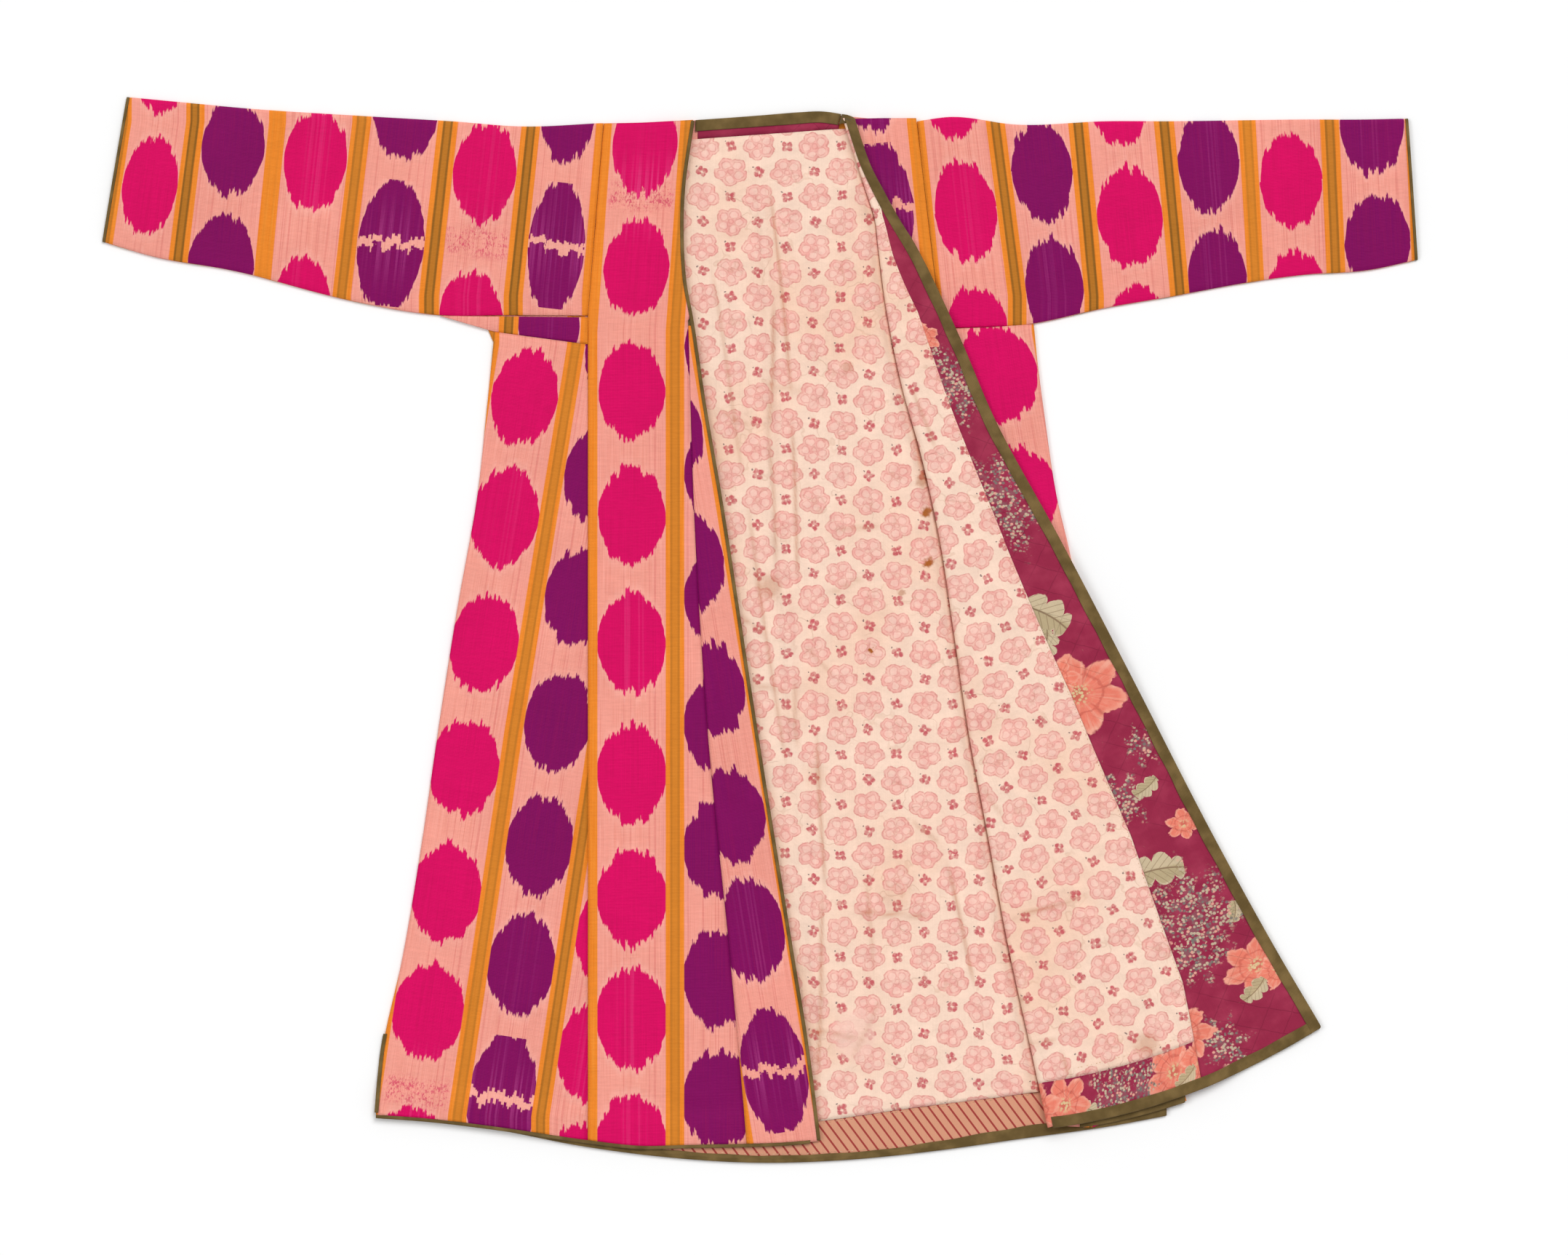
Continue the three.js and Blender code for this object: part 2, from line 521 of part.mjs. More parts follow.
// One row across the right front: from its seam to the fold, round the turn, and out to the edge.
function turnedRow(t) {
  const fold = along(turnedFold, t);
  const edge = along(turnedEdge, t);
  const radius = turnRadius(t);
  const wide = Math.hypot(edge.x - fold.x, edge.y - fold.y);
  const way = new THREE.Vector3((edge.x - fold.x) / wide, (edge.y - fold.y) / wide, 0);
  const outside = radius + OUTER / 2 + GAP + LINING;
  const centre = new THREE.Vector3(fold.x, fold.y, 0).addScaledVector(way, outside);
  const hemRise = (FRONT_HEM - RIGHT_FRONT) * soft((t - 0.957) / 0.023);
  const underMid = RIGHT_FRONT + OUTER / 2 + hemRise;

  const seamX = rightSeam(fold.y);
  const under = [1, 0.5].map((k) => ({
    p: new THREE.Vector3(mix(centre.x + TAIL, seamX, k), fold.y, underMid),
    n: new THREE.Vector3(0, 0, -1),
  }));
  const tail = [1, 0.45, 0].map((k) => ({
    p: new THREE.Vector3(centre.x + TAIL * k, mix(centre.y, fold.y, k), underMid),
    n: new THREE.Vector3(0, 0, -1),
  }));
  const turn = [30, 60, 90, 120, 150].map((degrees) => {
    const angle = THREE.MathUtils.degToRad(degrees);
    const out = new THREE.Vector3(0, 0, -Math.cos(angle)).addScaledVector(way, -Math.sin(angle));
    return { p: centre.clone().setZ(underMid + radius).addScaledVector(out, radius), n: out };
  });
  const share = read(liningShare, 't', t, 's');
  const topMid = underMid + 2 * radius;
  const fallsOver = Math.min(80, Math.max(4, wide - outside - EDGE - TAPE_WIDE - 8));
  const flapAt = (s) => {
    const distance = mix(0, wide - outside - EDGE, s);
    const p = centre.clone().addScaledVector(way, distance);
    p.y -= HEM_BOW * t * t * 4 * s * (1 - s);
    const resting = flapHeight(p.x, p.y, t) + OUTER / 2;
    p.z = mix(topMid, resting, soft(distance / fallsOver));
    return { p, n: UP };
  };
  const lined = [0, 0.16, 0.36, 0.66, 1].map((k) => flapAt(k * share));
  const atLeaf = Math.max(1 - (TAPE_WIDE + 2) / (wide - outside - EDGE), mix(share, 1, 0.5));
  const faced = [mix(share, atLeaf, 0.5), atLeaf, 1].map(flapAt);
  return { under, tail, turn, lined, faced };
}

// Pull the first or last entry of each row along its neighbour by a small clearance.
function trimmed(rows, index, toward, by) {
  return rows.map((row) => row.map((entry, j) => {
    if (j !== index) return entry;
    const step = row[toward].p.clone().sub(entry.p).normalize();
    return { p: entry.p.clone().addScaledVector(step, by), n: entry.n };
  }));
}

function buildRightFront() {
  const rows = turnRows.map(turnedRow);
  const outer = rows.map((r) => [...r.under, ...r.tail, ...r.turn, ...r.lined, ...r.faced]);
  addCloth('right_front', 'ikat', outer, -OUTER / 2, OUTER / 2);

  const inner = [OUTER / 2 + GAP, OUTER / 2 + GAP + LINING];
  const liningRows = rows.map((r) => [...r.tail, ...r.turn, ...r.lined]);
  const last = liningRows[0].length - 1;
  addCloth('right_lining', 'lining', trimmed(liningRows.slice(0, HEM_FACING_ROW + 1), last, last - 1, GAP / 2), ...inner);

  const facingRows = rows.slice(1).map((r) => [r.lined.at(-1), ...r.faced]);
  addCloth('right_front_facing', 'facing', trimmed(facingRows, 0, 1, GAP / 2), ...inner);

  const hemRows = liningRows.slice(HEM_FACING_ROW);
  const clearOfLining = hemRows.map((row, i) => row.map((entry, j) => {
    if (i > 0) return entry;
    const step = hemRows[1][j].p.clone().sub(entry.p).normalize();
    return { p: entry.p.clone().addScaledVector(step, GAP), n: entry.n };
  }));
  addCloth('right_hem_facing', 'facing', trimmed(clearOfLining, last, last - 1, GAP / 2), ...inner);

  const lowered = (path) => path.map(({ edge, inner }) => ({
    edge: edge.clone().addScaledVector(UP, -OUTER / 2),
    inner: inner.clone().addScaledVector(UP, -OUTER / 2),
  }));
  const thick = OUTER + GAP + LINING;
  const leaf = (i) => mix(9, TAPE_WIDE, soft(turnRows[i] / 0.12));
  const edgePath = shortened(lowered(columnEdge(outer)), -EDGE);
  addTape('right_front_binding', edgePath, thick, leaf, TAPE_NARROW);
  const flap = rows.map((r) => [...r.lined, ...r.faced]);
  addTape('right_hem_binding', shortened(lowered(rowEdge(flap)), TAPE_WIDE + 3), thick, TAPE_WIDE, TAPE_NARROW);

  buildRightGore(rows);
}

function buildRightGore(rows) {
  const seamRows = turnRows.map((t, i) => ({ t, seam: rows[i].under[0].p })).filter(({ seam }) => seam.y < UNDERARM_RIGHT - 4);
  const topSeam = new THREE.Vector3(rightSeam(UNDERARM_RIGHT), UNDERARM_RIGHT - GAP, RIGHT_FRONT);
  const top = { t: 0, seam: topSeam };
  const gore = [top, ...seamRows].map(({ t, seam }) => [0, 0.25, 0.5, 0.75, 0.9, 1].map((share) => {
    const from = seam.x + GAP;
    const hemward = soft((t - 0.9) / 0.1);
    const sideY = mix(seam.y, -1124 + EDGE, hemward);
    const x = mix(from, xAt(sideRightFront, sideY), share);
    const straight = mix(seam.y, sideY, share);
    const onHem = mix(seam.y, hemInside(hemRightFront, x), share);
    const y = t >= 1 ? onHem : straight;
    const side = soft((xAt(sideRightFront, y) - x) / 30);
    const hem = (FRONT_HEM - RIGHT_FRONT) * soft((t - 0.957) / 0.023);
    const low = t > 0.957 ? FRONT_HEM : mix(SHOULDER, RIGHT_FRONT, side);
    return flat(x, y, Math.max(low, mix(SHOULDER, RIGHT_FRONT + hem, side)));
  }));
  addCloth('right_side_gore', 'ikat', gore, 0, OUTER);

  const strip = rows.map((r) => [...r.under].reverse());
  const stripEdge = rowEdge(strip).map(({ edge, inner }) => ({
    edge: edge.clone().addScaledVector(UP, -OUTER / 2),
    inner: inner.clone().addScaledVector(UP, -OUTER / 2),
  }));
  const hemPath = [...stripEdge, ...rowEdge(gore).slice(1)];
  addTape('right_under_hem_binding', hemPath, OUTER, TAPE_NARROW, TAPE_NARROW);
}

buildBack();
buildBackLining();
buildLeftFront();
buildSleeves();
buildRightFront();

// Set the robe down with the middle of its outline at the origin.
const outline = new THREE.Box3().setFromObject(robe);
robe.position.set(-(outline.min.x + outline.max.x) / 2, -(outline.min.y + outline.max.y) / 2, -outline.min.z);
robe.updateMatrixWorld(true);

export default robe;
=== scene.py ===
"""A munisak robe laid out flat: ikat panels, printed lining, facings and edge tapes."""

import json

import bpy
import numpy as np
from mathutils import Vector
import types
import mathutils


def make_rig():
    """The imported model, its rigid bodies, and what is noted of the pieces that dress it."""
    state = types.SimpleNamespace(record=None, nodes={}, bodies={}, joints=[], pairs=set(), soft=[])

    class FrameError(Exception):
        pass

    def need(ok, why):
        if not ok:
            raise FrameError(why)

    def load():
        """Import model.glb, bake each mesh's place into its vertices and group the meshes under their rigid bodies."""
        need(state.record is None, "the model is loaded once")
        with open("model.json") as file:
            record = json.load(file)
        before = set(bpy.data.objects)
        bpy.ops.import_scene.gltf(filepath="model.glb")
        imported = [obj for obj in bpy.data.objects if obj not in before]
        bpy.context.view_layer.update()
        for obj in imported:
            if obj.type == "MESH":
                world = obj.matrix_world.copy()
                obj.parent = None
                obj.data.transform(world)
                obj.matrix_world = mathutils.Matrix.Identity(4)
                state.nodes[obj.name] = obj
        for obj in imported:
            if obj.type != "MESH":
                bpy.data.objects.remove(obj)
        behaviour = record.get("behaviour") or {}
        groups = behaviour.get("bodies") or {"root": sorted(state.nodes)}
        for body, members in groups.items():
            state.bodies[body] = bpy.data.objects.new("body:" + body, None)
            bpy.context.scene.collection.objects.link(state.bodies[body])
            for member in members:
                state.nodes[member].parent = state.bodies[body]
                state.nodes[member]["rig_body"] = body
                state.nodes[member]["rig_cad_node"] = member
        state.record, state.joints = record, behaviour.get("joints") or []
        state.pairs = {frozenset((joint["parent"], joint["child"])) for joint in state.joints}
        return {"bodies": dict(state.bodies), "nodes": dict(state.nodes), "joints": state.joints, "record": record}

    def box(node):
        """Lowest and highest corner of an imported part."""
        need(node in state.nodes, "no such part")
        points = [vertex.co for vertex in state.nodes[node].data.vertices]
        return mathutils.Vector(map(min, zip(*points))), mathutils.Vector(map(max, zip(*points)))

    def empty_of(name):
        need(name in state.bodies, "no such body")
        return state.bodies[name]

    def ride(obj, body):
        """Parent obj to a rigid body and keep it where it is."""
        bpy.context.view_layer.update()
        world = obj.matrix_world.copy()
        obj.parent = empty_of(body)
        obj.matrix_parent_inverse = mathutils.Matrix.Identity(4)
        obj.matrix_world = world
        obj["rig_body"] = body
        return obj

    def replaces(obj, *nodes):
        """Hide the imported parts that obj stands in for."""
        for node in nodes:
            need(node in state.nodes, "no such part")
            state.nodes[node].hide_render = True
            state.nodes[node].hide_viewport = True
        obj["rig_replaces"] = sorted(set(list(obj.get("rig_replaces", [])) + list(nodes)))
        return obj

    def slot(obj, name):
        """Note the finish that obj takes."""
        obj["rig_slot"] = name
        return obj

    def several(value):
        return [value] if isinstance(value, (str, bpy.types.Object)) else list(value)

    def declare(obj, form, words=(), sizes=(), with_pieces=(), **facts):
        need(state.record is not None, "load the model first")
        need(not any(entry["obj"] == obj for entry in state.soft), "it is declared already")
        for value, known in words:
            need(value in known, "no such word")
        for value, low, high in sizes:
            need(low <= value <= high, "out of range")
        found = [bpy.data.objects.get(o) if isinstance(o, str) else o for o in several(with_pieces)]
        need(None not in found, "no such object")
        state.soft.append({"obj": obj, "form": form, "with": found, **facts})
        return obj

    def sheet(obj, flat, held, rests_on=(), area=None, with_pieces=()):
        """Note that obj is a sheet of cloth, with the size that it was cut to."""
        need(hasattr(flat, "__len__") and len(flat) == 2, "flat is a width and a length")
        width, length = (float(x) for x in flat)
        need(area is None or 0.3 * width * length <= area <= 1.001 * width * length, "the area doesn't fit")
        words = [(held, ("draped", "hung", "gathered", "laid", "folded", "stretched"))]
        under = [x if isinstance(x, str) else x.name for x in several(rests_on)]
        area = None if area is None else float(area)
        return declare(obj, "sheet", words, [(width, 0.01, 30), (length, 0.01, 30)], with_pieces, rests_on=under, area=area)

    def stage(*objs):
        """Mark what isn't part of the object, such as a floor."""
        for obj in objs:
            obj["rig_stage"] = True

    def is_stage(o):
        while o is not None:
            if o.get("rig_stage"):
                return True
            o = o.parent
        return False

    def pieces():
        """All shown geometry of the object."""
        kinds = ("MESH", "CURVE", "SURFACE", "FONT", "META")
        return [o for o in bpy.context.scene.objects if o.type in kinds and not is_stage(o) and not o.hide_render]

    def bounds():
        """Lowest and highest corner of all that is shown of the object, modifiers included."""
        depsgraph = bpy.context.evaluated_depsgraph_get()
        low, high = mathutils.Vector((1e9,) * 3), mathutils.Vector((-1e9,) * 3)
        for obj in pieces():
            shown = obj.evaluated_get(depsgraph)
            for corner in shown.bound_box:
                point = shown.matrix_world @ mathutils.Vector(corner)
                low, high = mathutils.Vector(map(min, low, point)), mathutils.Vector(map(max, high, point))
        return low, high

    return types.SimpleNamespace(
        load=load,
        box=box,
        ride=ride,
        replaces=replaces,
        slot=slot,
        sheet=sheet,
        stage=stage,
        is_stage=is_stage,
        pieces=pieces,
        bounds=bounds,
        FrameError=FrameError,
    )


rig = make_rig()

bl_info = {
    "name": "Munisak robe",
    "version": (1, 0, 0),
    "blender": (4, 5, 0),
    "location": "View3D > Sidebar > Robe",
    "description": "Lays out a lined ikat robe with one front turned back",
    "category": "Add Mesh",
}

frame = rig.load()
CAD_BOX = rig.bounds()
MM = 0.001

# ---- sizes shared with the solids, millimetres from the shoulder line and the centre front ----
BACK_TOP_RIGHT = (194.85, 10.0)  # highest x and y of the back panel
PANEL_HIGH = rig.box("back_panel")[1]
OFFSET = np.array([PANEL_HIGH[0] - BACK_TOP_RIGHT[0] * MM, PANEL_HIGH[1] - BACK_TOP_RIGHT[1] * MM, 0.0])

OUTER, LINING, TAPE = 1.5, 1.0, 1.0  # thickness of each cloth
GAP = 0.3  # air between two layers
EDGE = 2.0  # how far a cloth stays inside its taped edge
WIDE_LEAF, NARROW_LEAF = 13.0, 4.0  # widths of a tape's two leaves
# Heights of the undersides of the layers that lie on the back.
BACK_LINING = OUTER + GAP
FRONT = BACK_LINING + LINING + GAP
FRONT_ON_TAPE = FRONT + TAPE + GAP
FRONT_HEM = FRONT_ON_TAPE + TAPE + GAP
SHOULDER = OUTER + GAP
RIGHT_FRONT = FRONT + LINING + GAP
FLAP = RIGHT_FRONT + OUTER + GAP + TAPE + GAP
FLAP_HEM = FRONT_HEM + OUTER + GAP + TAPE + GAP + TAPE + GAP
FLAP_ON_FLOOR = TAPE + GAP
UNDERARM_RIGHT = -238.0  # y where the right side gore begins
GORE_TOP = -228.0  # y where the gore of the closed front begins
FAR = 1000.0  # farther than any edge

# ---- outline tables. First column: place along the edge. Second column: the edge itself. ----
SIDE_LEFT = ((-240, -317), (-330, -326), (-430, -337), (-560, -360), (-700, -382), (-830, -401),
             (-960, -423), (-1060, -445), (-1143, -453))  # y, x
SIDE_RIGHT = ((-237, 301), (-330, 313), (-430, 328), (-494, 343), (-620, 366), (-760, 391),
              (-900, 414), (-1030, 436), (-1140, 454))  # y, x
SIDE_RIGHT_FRONT = (*SIDE_RIGHT[:5], (-760, 393), (-900, 421), (-1030, 453), (-1124, 477))  # y, x
SEAM_LEFT = ((-1200, -210), (-224, -210), (10, -191))  # y, x
SEAM_RIGHT = ((-1200, 195), (-237, 195), (10, 166))  # y, x
FRONT_EDGE = ((10, -86), (-3, -88), (-73, -98), (-122, -100), (-182, -97), (-226, -89), (-320, -75),
              (-437, -55), (-554, -37), (-647, -23), (-781, -2), (-879, 14), (-965, 28),
              (-1051, 42), (-1200, 61))  # y, x
GORE_SEAM = ((-226, -95), (-449, -88), (-611, -79), (-741, -69), (-947, -48), (-1171, -28),
             (-1200, -26))  # y, x
FOLD = ((82, 4), (100, -52), (109, -80), (119, -112), (123, -145), (132, -214), (150, -303),
        (172, -382), (194, -482), (209, -581), (227, -702), (249, -820), (272, -945),
        (299, -1068), (317, -1153))  # x, y
FLAP_EDGE = ((97, 0), (115, -52), (128, -77), (146, -110), (167, -144), (215, -244), (258, -344),
             (331, -478), (418, -645), (504, -812), (577, -945), (631, -1037))  # x, y
HEM_BACK = ((-460, -1142), (-392, -1147), (-317, -1156), (-217, -1175), (-117, -1188), (-17, -1194),
            (84, -1191), (184, -1181), (284, -1167), (384, -1153), (460, -1139))  # x, y
HEM_LEFT = (*HEM_BACK[:3], (-207, -1172), (-151, -1178), (-95, -1177), (17, -1174), (70, -1169))  # x, y
HEM_RIGHT = ((300, -1158), (377, -1150), (430, -1138), (480, -1123))  # x, y
SHOULDER_LINE = ((-210, -2), (-150, -1), (-88, 2), (-17, 7), (33, 11), (58, 12), (88, 8), (134, 4),
                 (190, -2))  # x, y
LINING_TOP = ((-130, -22), (-86, -20), (67, -9), (120, -6))  # x, y
HEM_FACING_TOP = ((0, -1152), (61, -1146), (164, -1131), (262, -1119), (350, -1106))  # x, y
LINED_SHARE = ((0, 0.96), (0.05, 0.9), (0.1, 0.3), (0.14, 0.3), (0.2, 0.5), (0.45, 0.56), (0.6, 0.64),
               (0.75, 0.67), (0.9, 0.64), (1, 0.56))  # share along the fold, share across
# Sleeves from the seam to the cuff: shoulder fold x and y, underarm x and y, height.
SLEEVE_LEFT = ((-192.2, -2, -210.1, -222, 4.6), (-284, -6, -300, -221.5, 5.4),
               (-367, 0, -384, -221, 5.8), (-468, 6, -485, -204, 6.0), (-593, 14, -618, -170, 5.8),
               (-668, 21, -700, -156, 5.6), (-735.7, 27.5, -763.7, -138, 5.4))
SLEEVE_RIGHT = ((167.4, 0, 195.2, -236.5, 5.9), (209, 5, 250, -235, 6.0), (284, -4, 301, -231, 6.0),
                (384, 0, 384, -213, 6.0), (459, 0, 459, -200, 5.8), (534, 1, 534, -186, 5.8),
                (610, 2, 612, -175, 5.6), (675, 2, 683, -170, 5.6), (727.7, 3, 738.7, -158.5, 5.4))
SLEEVE_EDGE = 3.6  # height of a sleeve along its folds
CUFF_TAPE = 3.4  # width of a cuff tape
CORNER = 3.0  # rounding of the turned front's hem corner

# ---- reading tables ----------------------------------------------------------------------------


def mix(a, b, k):
    return a + (b - a) * k


def soft(k):
    k = np.clip(k, 0.0, 1.0)
    return k * k * (3 - 2 * k)


def curve(table, at, smooth=True):
    """Reads a two-column table at one or many places, along a smooth curve or straight lines."""
    rows = np.array(sorted(table), float)
    knots, values = rows[:, 0], rows[:, 1]
    at = np.clip(np.asarray(at, float), knots[0], knots[-1])
    if not smooth or len(rows) < 3:
        return np.interp(at, knots, values)
    steps = np.diff(values) / np.diff(knots)
    slope = np.concatenate([steps[:1], (steps[1:] + steps[:-1]) / 2, steps[-1:]])
    i = np.clip(np.searchsorted(knots, at) - 1, 0, len(knots) - 2)
    run = knots[i + 1] - knots[i]
    t = (at - knots[i]) / run
    start = (2 * t**3 - 3 * t**2 + 1) * values[i] + (t**3 - 2 * t**2 + t) * run * slope[i]
    end = (3 * t**2 - 2 * t**3) * values[i + 1] + (t**3 - t**2) * run * slope[i + 1]
    return start + end


def running(steps):
    """Length so far at each point of a line, from the lengths of the steps between them."""
    return np.concatenate([[0], np.cumsum(steps)])


def line_lengths(points):
    """Length so far at each point of a line of x, y, z points."""
    return running(np.linalg.norm(np.diff(points, axis=0), axis=-1))


def unit(vectors):
    return vectors / np.linalg.norm(vectors, axis=-1, keepdims=True)


def along(table, t):
    """Points at shares t of the way along an outline of x, y rows."""
    points = np.array(table, float)
    lengths = running(np.hypot(*np.diff(points, axis=0).T))
    place = np.asarray(t, float) * lengths[-1]
    x = curve(tuple(zip(lengths, points[:, 0])), place)
    y = curve(tuple(zip(lengths, points[:, 1])), place)
    return x, y


def along_at_y(table, y):
    """x of an x, y outline at given heights y."""
    return curve(tuple((row[1], row[0]) for row in table), y)


def waves(x, y, size, seed):
    """Smooth unevenness, mostly between -1 and 1, made of a few crossing waves."""
    draw = np.random.default_rng(seed)
    circle = 6.28  # one full turn
    total = 0.0
    for _ in range(7):
        turn, stretch, start = draw.uniform(0, circle), draw.uniform(0.6, 1.7), draw.uniform(0, circle)
        total = total + np.sin((x * np.cos(turn) + y * np.sin(turn)) * stretch * circle / size + start)
    return total / 4.0


def creases(x, y, table):
    """Soft ridges and troughs: rows of start x, y, end x, y, half width and height."""
    total = np.zeros(np.broadcast(x, y).shape)
    for x0, y0, x1, y1, half, height in table:
        run = np.hypot(x1 - x0, y1 - y0)
        share = ((x - x0) * (x1 - x0) + (y - y0) * (y1 - y0)) / run**2
        off = ((x - x0) * (y1 - y0) - (y - y0) * (x1 - x0)) / run
        off = off + 0.25 * half * np.sin(share * 7 + x0)
        fade = soft(share / 0.2) * soft((1 - share) / 0.2)
        total = total + height * fade * np.exp(-((off / half) ** 2))
    return total


def rumple(x, y, table, ridge, slow, quick):
    """Relief of worn cloth: its creases, and slow and quick waves, each with a height, size and seed."""
    (swell, long, seed), (ripple, short, other) = slow, quick
    return (ridge * creases(x, y, table) + swell * (1 + waves(x, y, long, seed))
            + ripple * waves(x, y, short, other))


# ---- meshes ------------------------------------------------------------------------------------


def new_object(name, verts, quads, slot, uv, values=None):
    """Makes a smooth mesh from points in robe millimetres, with its cloth map and attributes."""
    mesh = bpy.data.meshes.new(name)
    mesh.vertices.add(len(verts))
    mesh.vertices.foreach_set("co", (verts * MM + OFFSET).astype(np.float32).ravel())
    mesh.loops.add(quads.size)
    mesh.loops.foreach_set("vertex_index", quads.ravel().astype(np.int32))
    mesh.polygons.add(len(quads))
    mesh.polygons.foreach_set("loop_start", np.arange(0, quads.size, 4, dtype=np.int32))
    mesh.update(calc_edges=True)
    mesh.polygons.foreach_set("use_smooth", np.ones(len(quads), bool))
    layer = mesh.uv_layers.new(name="Cloth")
    layer.data.foreach_set("uv", (uv[quads.ravel()] * MM).astype(np.float32).ravel())
    for key, data in (values or {}).items():
        attribute = mesh.attributes.new(key, "FLOAT", "POINT")
        attribute.data.foreach_set("value", np.asarray(data, np.float32).ravel())
    mesh.validate()
    piece = bpy.data.objects.new(name, mesh)
    bpy.context.scene.collection.objects.link(piece)
    mesh.materials.append(bpy.data.materials[slot])
    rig.ride(piece, "root")
    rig.slot(piece, SLOTS[slot])
    return piece


def shell(name, middle, thick, slot, uv, values=None, closed=False):
    """A cloth wall round a grid of middle points. Its free edges are thinner, so they look rounded."""
    rows, cols = middle.shape[:2]
    edge_share = 0.6
    if closed:
        padded = np.concatenate([middle[:, -1:], middle, middle[:, :1]], axis=1)
        across = np.gradient(padded, axis=1)[:, 1:-1]
    else:
        across = np.gradient(middle, axis=1)
    normal = np.cross(np.gradient(middle, axis=0), across)
    normal /= np.linalg.norm(normal, axis=-1, keepdims=True) + 1e-9
    half = np.full((rows, cols, 1), thick / 2)
    half[[0, -1]] *= edge_share
    if not closed:
        half[:, [0, -1]] *= edge_share
    top, low = middle + normal * half, middle - normal * half
    verts = np.concatenate([top.reshape(-1, 3), low.reshape(-1, 3)])
    index = np.arange(rows * cols).reshape(rows, cols)
    if closed:
        index = np.concatenate([index, index[:, :1]], axis=1)
    a, b, c, d = index[:-1, :-1], index[:-1, 1:], index[1:, 1:], index[1:, :-1]
    count = rows * cols
    above = np.stack([a, d, c, b], -1).reshape(-1, 4)
    below = np.stack([a, b, c, d], -1).reshape(-1, 4) + count
    borders = [index[0], index[-1][::-1]]
    if not closed:
        borders += [index[::-1, 0], index[:, -1]]
    rims = [np.stack([r[:-1], r[1:], r[1:] + count, r[:-1] + count], -1) for r in borders]
    quads = np.concatenate([above, below, *rims])
    uv2 = np.concatenate([uv.reshape(-1, 2)] * 2)
    doubled = {key: np.concatenate([np.ravel(v)] * 2) for key, v in (values or {}).items()}
    return new_object(name, verts, quads, slot, uv2, doubled)


# ---- ikat cloth map ----------------------------------------------------------------------------
COLUMN = 96.0  # width of one pattern column, stripe centre to stripe centre
# Each layout: heights y, the x of the stripe lines at those heights, the colour of the first column
# (0 magenta, 1 purple), how dark the middle of each stripe is, the y where the warp turns in each
# column, and the y of the ovals down each column. The seed sets the ovals' ragged ends.
LEFT_MAIN = dict(
    heights=(0, -240, -1180), lines=((-192, -209, -209), (-93, -110, -110), (5.5, -11.5, -11.5)),
    first=0, tones=(0.0, 0.34, 0.5), seed=1, turns=((-86,), ()),
    ovals=((-26, -168, -309, -452, -598, -747, -890, -1028, -1172),
           (-116, -260, -403, -547, -690, -834, -983, -1121)))
LEFT_GORE = dict(
    heights=(-255, -700, -1141),
    lines=((-322, -396, -462), (-223, -295, -359.5), (-131, -198, -264), (-39, -107, -173)),
    first=0, tones=(0.3, 0.35, 0.6, 0.5), seed=2, turns=((-1112,), (-1121,), ()),
    ovals=((-316, -453, -598, -740, -884, -1021, -1185), (-262, -404, -544, -688, -830, -967, -1121),
           (-365, -507, -649, -791, -933, -1067, -1205)))
FRONT_GORE = dict(
    heights=(-230, -700, -1180), lines=((-181, -105.5, -28), (-87.5, -12, 65.5), (11, 86.5, 164)),
    first=1, tones=(0.1, 0.1, 0.5), seed=3, turns=((-1087,), ()),
    ovals=((-212, -356, -504, -651, -795, -928, -1088), (-300, -440, -580, -720, -860, -1000, -1140)))
LEFT_SLEEVE_CLOTH = dict(
    heights=(0, -200), lines=((-742, -774), (-661, -686), (-566, -585), (-469.5, -493), (-370, -392),
                              (-274, -295), (-192, -208)),
    first=0, tones=(0.4, 1.0, 0.1, 0.5, 0.9, 1.0, 0.0), seed=4,
    turns=((), (), (), (-139,), (-138,), (-142,)),
    ovals=((66, -73, -214), (112, -29, -162), (99, -44, -212), (12, -141), (84, -58, -230), (8, -143)))
RIGHT_SLEEVE_CLOTH = dict(
    heights=(0, -200), lines=((68, 87), (166, 186), (257, 283), (352, 370), (451, 470), (546, 557),
                              (640.5, 649), (738, 748)),
    first=1, tones=(0.2, 0.15, 0.85, 1.0, 1.0, 0.3, 0.7, 0.5), seed=5, turns=((-97,),),
    ovals=((47, -97, -240), (36, -103, -243), (83, -57, -190), (30, -109, -242), (96, -47, -181),
           (70, -69, -204), (-4, -139)))
RIGHT_GORE = dict(
    heights=(-240, -700, -1140),
    lines=((66, 136, 203), (188, 258, 325), (312, 393, 469), (436, 507, 574)),
    first=1, tones=(0.5, 0.5, 0.2, 0.5), seed=6, turns=((-900,), ()),
    ovals=((-220, -362, -505), (-289, -427, -575, -718, -860, -1000, -1140), (-220, -362, -505)))
GUSSET = dict(
    heights=(-200, -260), lines=((-492, -496), (-394, -398), (-299, -302), (-207, -210)), first=1,
    tones=(0.5, 0.5, 1.0, 0.1), seed=7, turns=((), ()), ovals=((-400,), (-400,), (-232,)))
BACK_COLUMNS = ((-40, -183, -398, -541, -685, -828, -972, -1115),
                (-110, -326, -470, -614, -757, -900, -1044, -1180))
BACK = dict(
    heights=(0, -1200), lines=tuple((x, x) for x in range(-204, 277, 96)), first=0,
    tones=(0.2, 0.6, 0.9, 0.4, 0.7, 0.3), seed=8, turns=((-326,),) * 5,
    ovals=(*BACK_COLUMNS, *BACK_COLUMNS, BACK_COLUMNS[0]))


